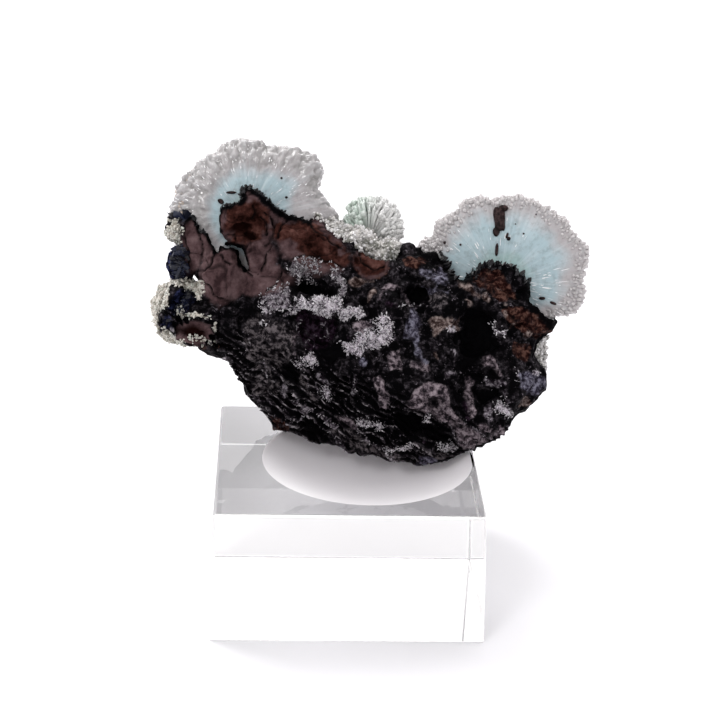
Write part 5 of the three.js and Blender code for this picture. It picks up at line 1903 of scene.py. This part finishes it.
def on_rock(places):
    """Where a look from the front, along Y, meets the rock; False where it misses."""
    start = places + np.array([0, -40.0, 0])
    way = Vector(TURN[:, 1])
    hits = [rock_tree.ray_cast(Vector(spot), way)[0] for spot in to_model(start)]
    met = np.array([hit is not None for hit in hits])
    found = np.array([hit if hit is not None else (0, 0, 0) for hit in hits])
    return to_specimen(found), met


def blade_feet(line, count, band, lengths, angle, rng):
    """Feet scattered along a line, and axes about one direction."""
    line = np.array(line)
    stretch = np.r_[0, np.cumsum(np.linalg.norm(np.diff(line, axis=0), axis=1))]
    walk = rng.uniform(0, stretch[-1], count)
    x = np.interp(walk, stretch, line[:, 0]) + rng.normal(scale=band / 2, size=count)
    z = np.interp(walk, stretch, line[:, 1]) + rng.normal(scale=band / 2, size=count)
    feet, met = on_rock(np.stack([x, np.zeros(count), z], -1))
    turn = np.radians(rng.normal(angle, STRAY, count))
    axes = polar(1, rng.normal(-0.25, 0.35, count), turn)
    return feet[met], unit(axes[met]), rng.uniform(*lengths, met.sum())


def make_blades():
    """All blades as one piece."""
    rng = np.random.default_rng(83)
    sets = [blade_feet(*run, rng) for run in BLADES]
    feet, axes, long = (np.concatenate(part) for part in zip(*sets))
    near = feet[:, 1] < 3
    feet, axes, long = feet[near], axes[near], long[near]
    wide = long * rng.uniform(0.7, 1.3, len(long))
    mesh = crystal_mesh("black_blades", BLADE, feet, axes, long, wide, rng, smooth=False)
    give(mesh, navy=each(BLADE, ramp_up(-feet[:, 0], 26.5, 27.5) * rng.random(len(long))))
    material, tree, shader = start_material("black_blades", Roughness=0.28,
                                            Specular_IOR_Level=0.35)
    colour = mixed(tree, stored(tree, "navy"), (*BLADE_BLACK, 1), (*BLADE_NAVY, 1))
    connect(tree, shader, Base_Color=colour)
    make_piece("black_blades", mesh, material, "dark_matrix")


make_blades()

# %% [markdown]
# ## Inclusions and slivers in the sprays
# Dark grains of ore are caught in the faces, most of them in the right one, where one is long
# and upright. Bright splinters lie on both faces where fibres broke; their white is partly
# painted sparkle highlight, and those among the left rim's bumps are painted sparkle. The
# grains are rough ellipsoids half sunk in the face, and the splinters are thin blades along
# the fibres.

# %% Inclusions and slivers
# An inclusion's row is its middle and its three radii, and for some a tilt in degrees.
INCLUSIONS = [
    ((18.1, -0.3, 18.3), (0.85, 0.45, 2.0), -4),
    ((17.6, -0.35, 16.6), (0.5, 0.35, 0.7)),
    ((18.6, -0.3, 19.9), (0.6, 0.35, 0.45)),
    ((19.4, -0.35, 15.5), (0.4, 0.25, 0.35)),
    ((19.2, -0.35, 16.0), (0.2, 0.2, 0.5), 20),
    ((17.7, -0.35, 14.0), (0.22, 0.22, 0.95), 4),
    ((24.3, -0.3, 6.8), (0.5, 0.3, 0.25)),
    ((25.9, -0.2, 6.1), (0.6, 0.3, 0.28), 20),
    ((10.1, -0.4, 14.9), (0.2, 0.2, 0.25)),
    ((12.4, -0.35, 14.6), (0.14, 0.14, 0.14)),
    ((21.6, -0.35, 16.2), (0.12, 0.12, 0.12)),
    ((20.4, -0.35, 17.6), (0.12, 0.12, 0.12)),
    ((23.4, -0.35, 19.0), (0.10, 0.12, 0.12)),
    ((-22.4, -1.2, 20.8), (0.5, 0.4, 0.35), 30),
    ((-20.9, -1.2, 22.1), (0.7, 0.25, 0.16)),
    ((-12.9, -1.1, 21.4), (0.2, 0.15, 0.15)),
    ((-13.6, -1.1, 24.2), (0.14, 0.12, 0.14)),
]
# White blades: partly broken fibres, partly painted sparkle highlights; the last row, on the left
# rim's bumps, is painted sparkle.
SLIVERS_AND_SPARKLES = [("right", (-40, 15), 45, (0.35, 0.8), 0), ("right", (120, 215), 40, (0.35, 0.8), 0),
           ("right", (60, 120), 12, (0.35, 0.8), 0), ("left", (20, 150), 26, (0.35, 0.8), 0),
           ("left", (20, 190), 130, (0.62, 0.98), 0.6)]
PROUD = 0.02
INCLUSION_TONES = ((0.4, (0.006, 0.003, 0.003)), (0.65, (0.05, 0.03, 0.03)))


def joined(parts):
    """Several sets of points and faces as one."""
    start = np.cumsum([0] + [len(points) for points, _ in parts])
    points = np.concatenate([points for points, _ in parts])
    faces = [group + first for first, (_, groups) in zip(start, parts) for group in groups]
    return points, faces


def make_inclusions():
    """Every dark grain, as one piece."""
    points, faces = joined([ellipsoid(*form, around=20, rows=12, rough=0.45, seed=90 + k)
                            for k, form in enumerate(INCLUSIONS)])
    mesh = build_mesh("inclusions", to_model(points), faces)
    material, tree, shader = start_material("inclusions", Roughness=0.6, Specular_IOR_Level=0.1)
    connect(tree, shader, Base_Color=ramp(tree, grains(tree, 0.6), *INCLUSION_TONES))
    make_piece("inclusions", mesh, material, "dark_matrix")


def make_slivers_and_sparkles():
    """Every splinter, as one piece: the foot is a share of the reach along one angle. Those
    that stand forward of the face, among its bumps, are shorter; they are white blades that
    stand for sparkle, a painted highlight."""
    rng = np.random.default_rng(97)
    feet, axes = [], []
    for side, (low, high), count, (inner, outer), forward in SLIVERS_AND_SPARKLES:
        spray = SPRAYS[side]
        turn = np.radians(rng.uniform(low, high, count))
        out = rng.uniform(inner, outer, count)
        radius = spray["typical"] * out
        depth = -face_depth(spray, out) - PROUD - forward
        feet.append(polar(radius, depth, turn) + np.array(spray["at"]))
        turn = turn + rng.normal(scale=0.06, size=count)
        axes.append(polar(1, np.zeros(count), turn))
    feet, axes = np.concatenate(feet), np.concatenate(axes)
    count = len(feet)
    share = np.repeat([1 - run[4] for run in SLIVERS_AND_SPARKLES], [run[2] for run in SLIVERS_AND_SPARKLES])
    mesh = crystal_mesh("slivers_and_sparkles", BLADE, feet, axes, (0.3 + rng.random(count) ** 2) * share,
                        rng.uniform(0.07, 0.2, count), rng, smooth=False)
    material, _, _ = start_material("slivers_and_sparkles", Base_Color=(0.97, 0.97, 0.98, 1), Roughness=0.15)
    make_piece("slivers_and_sparkles", mesh, material, "blue_spray")


make_inclusions()
make_slivers_and_sparkles()
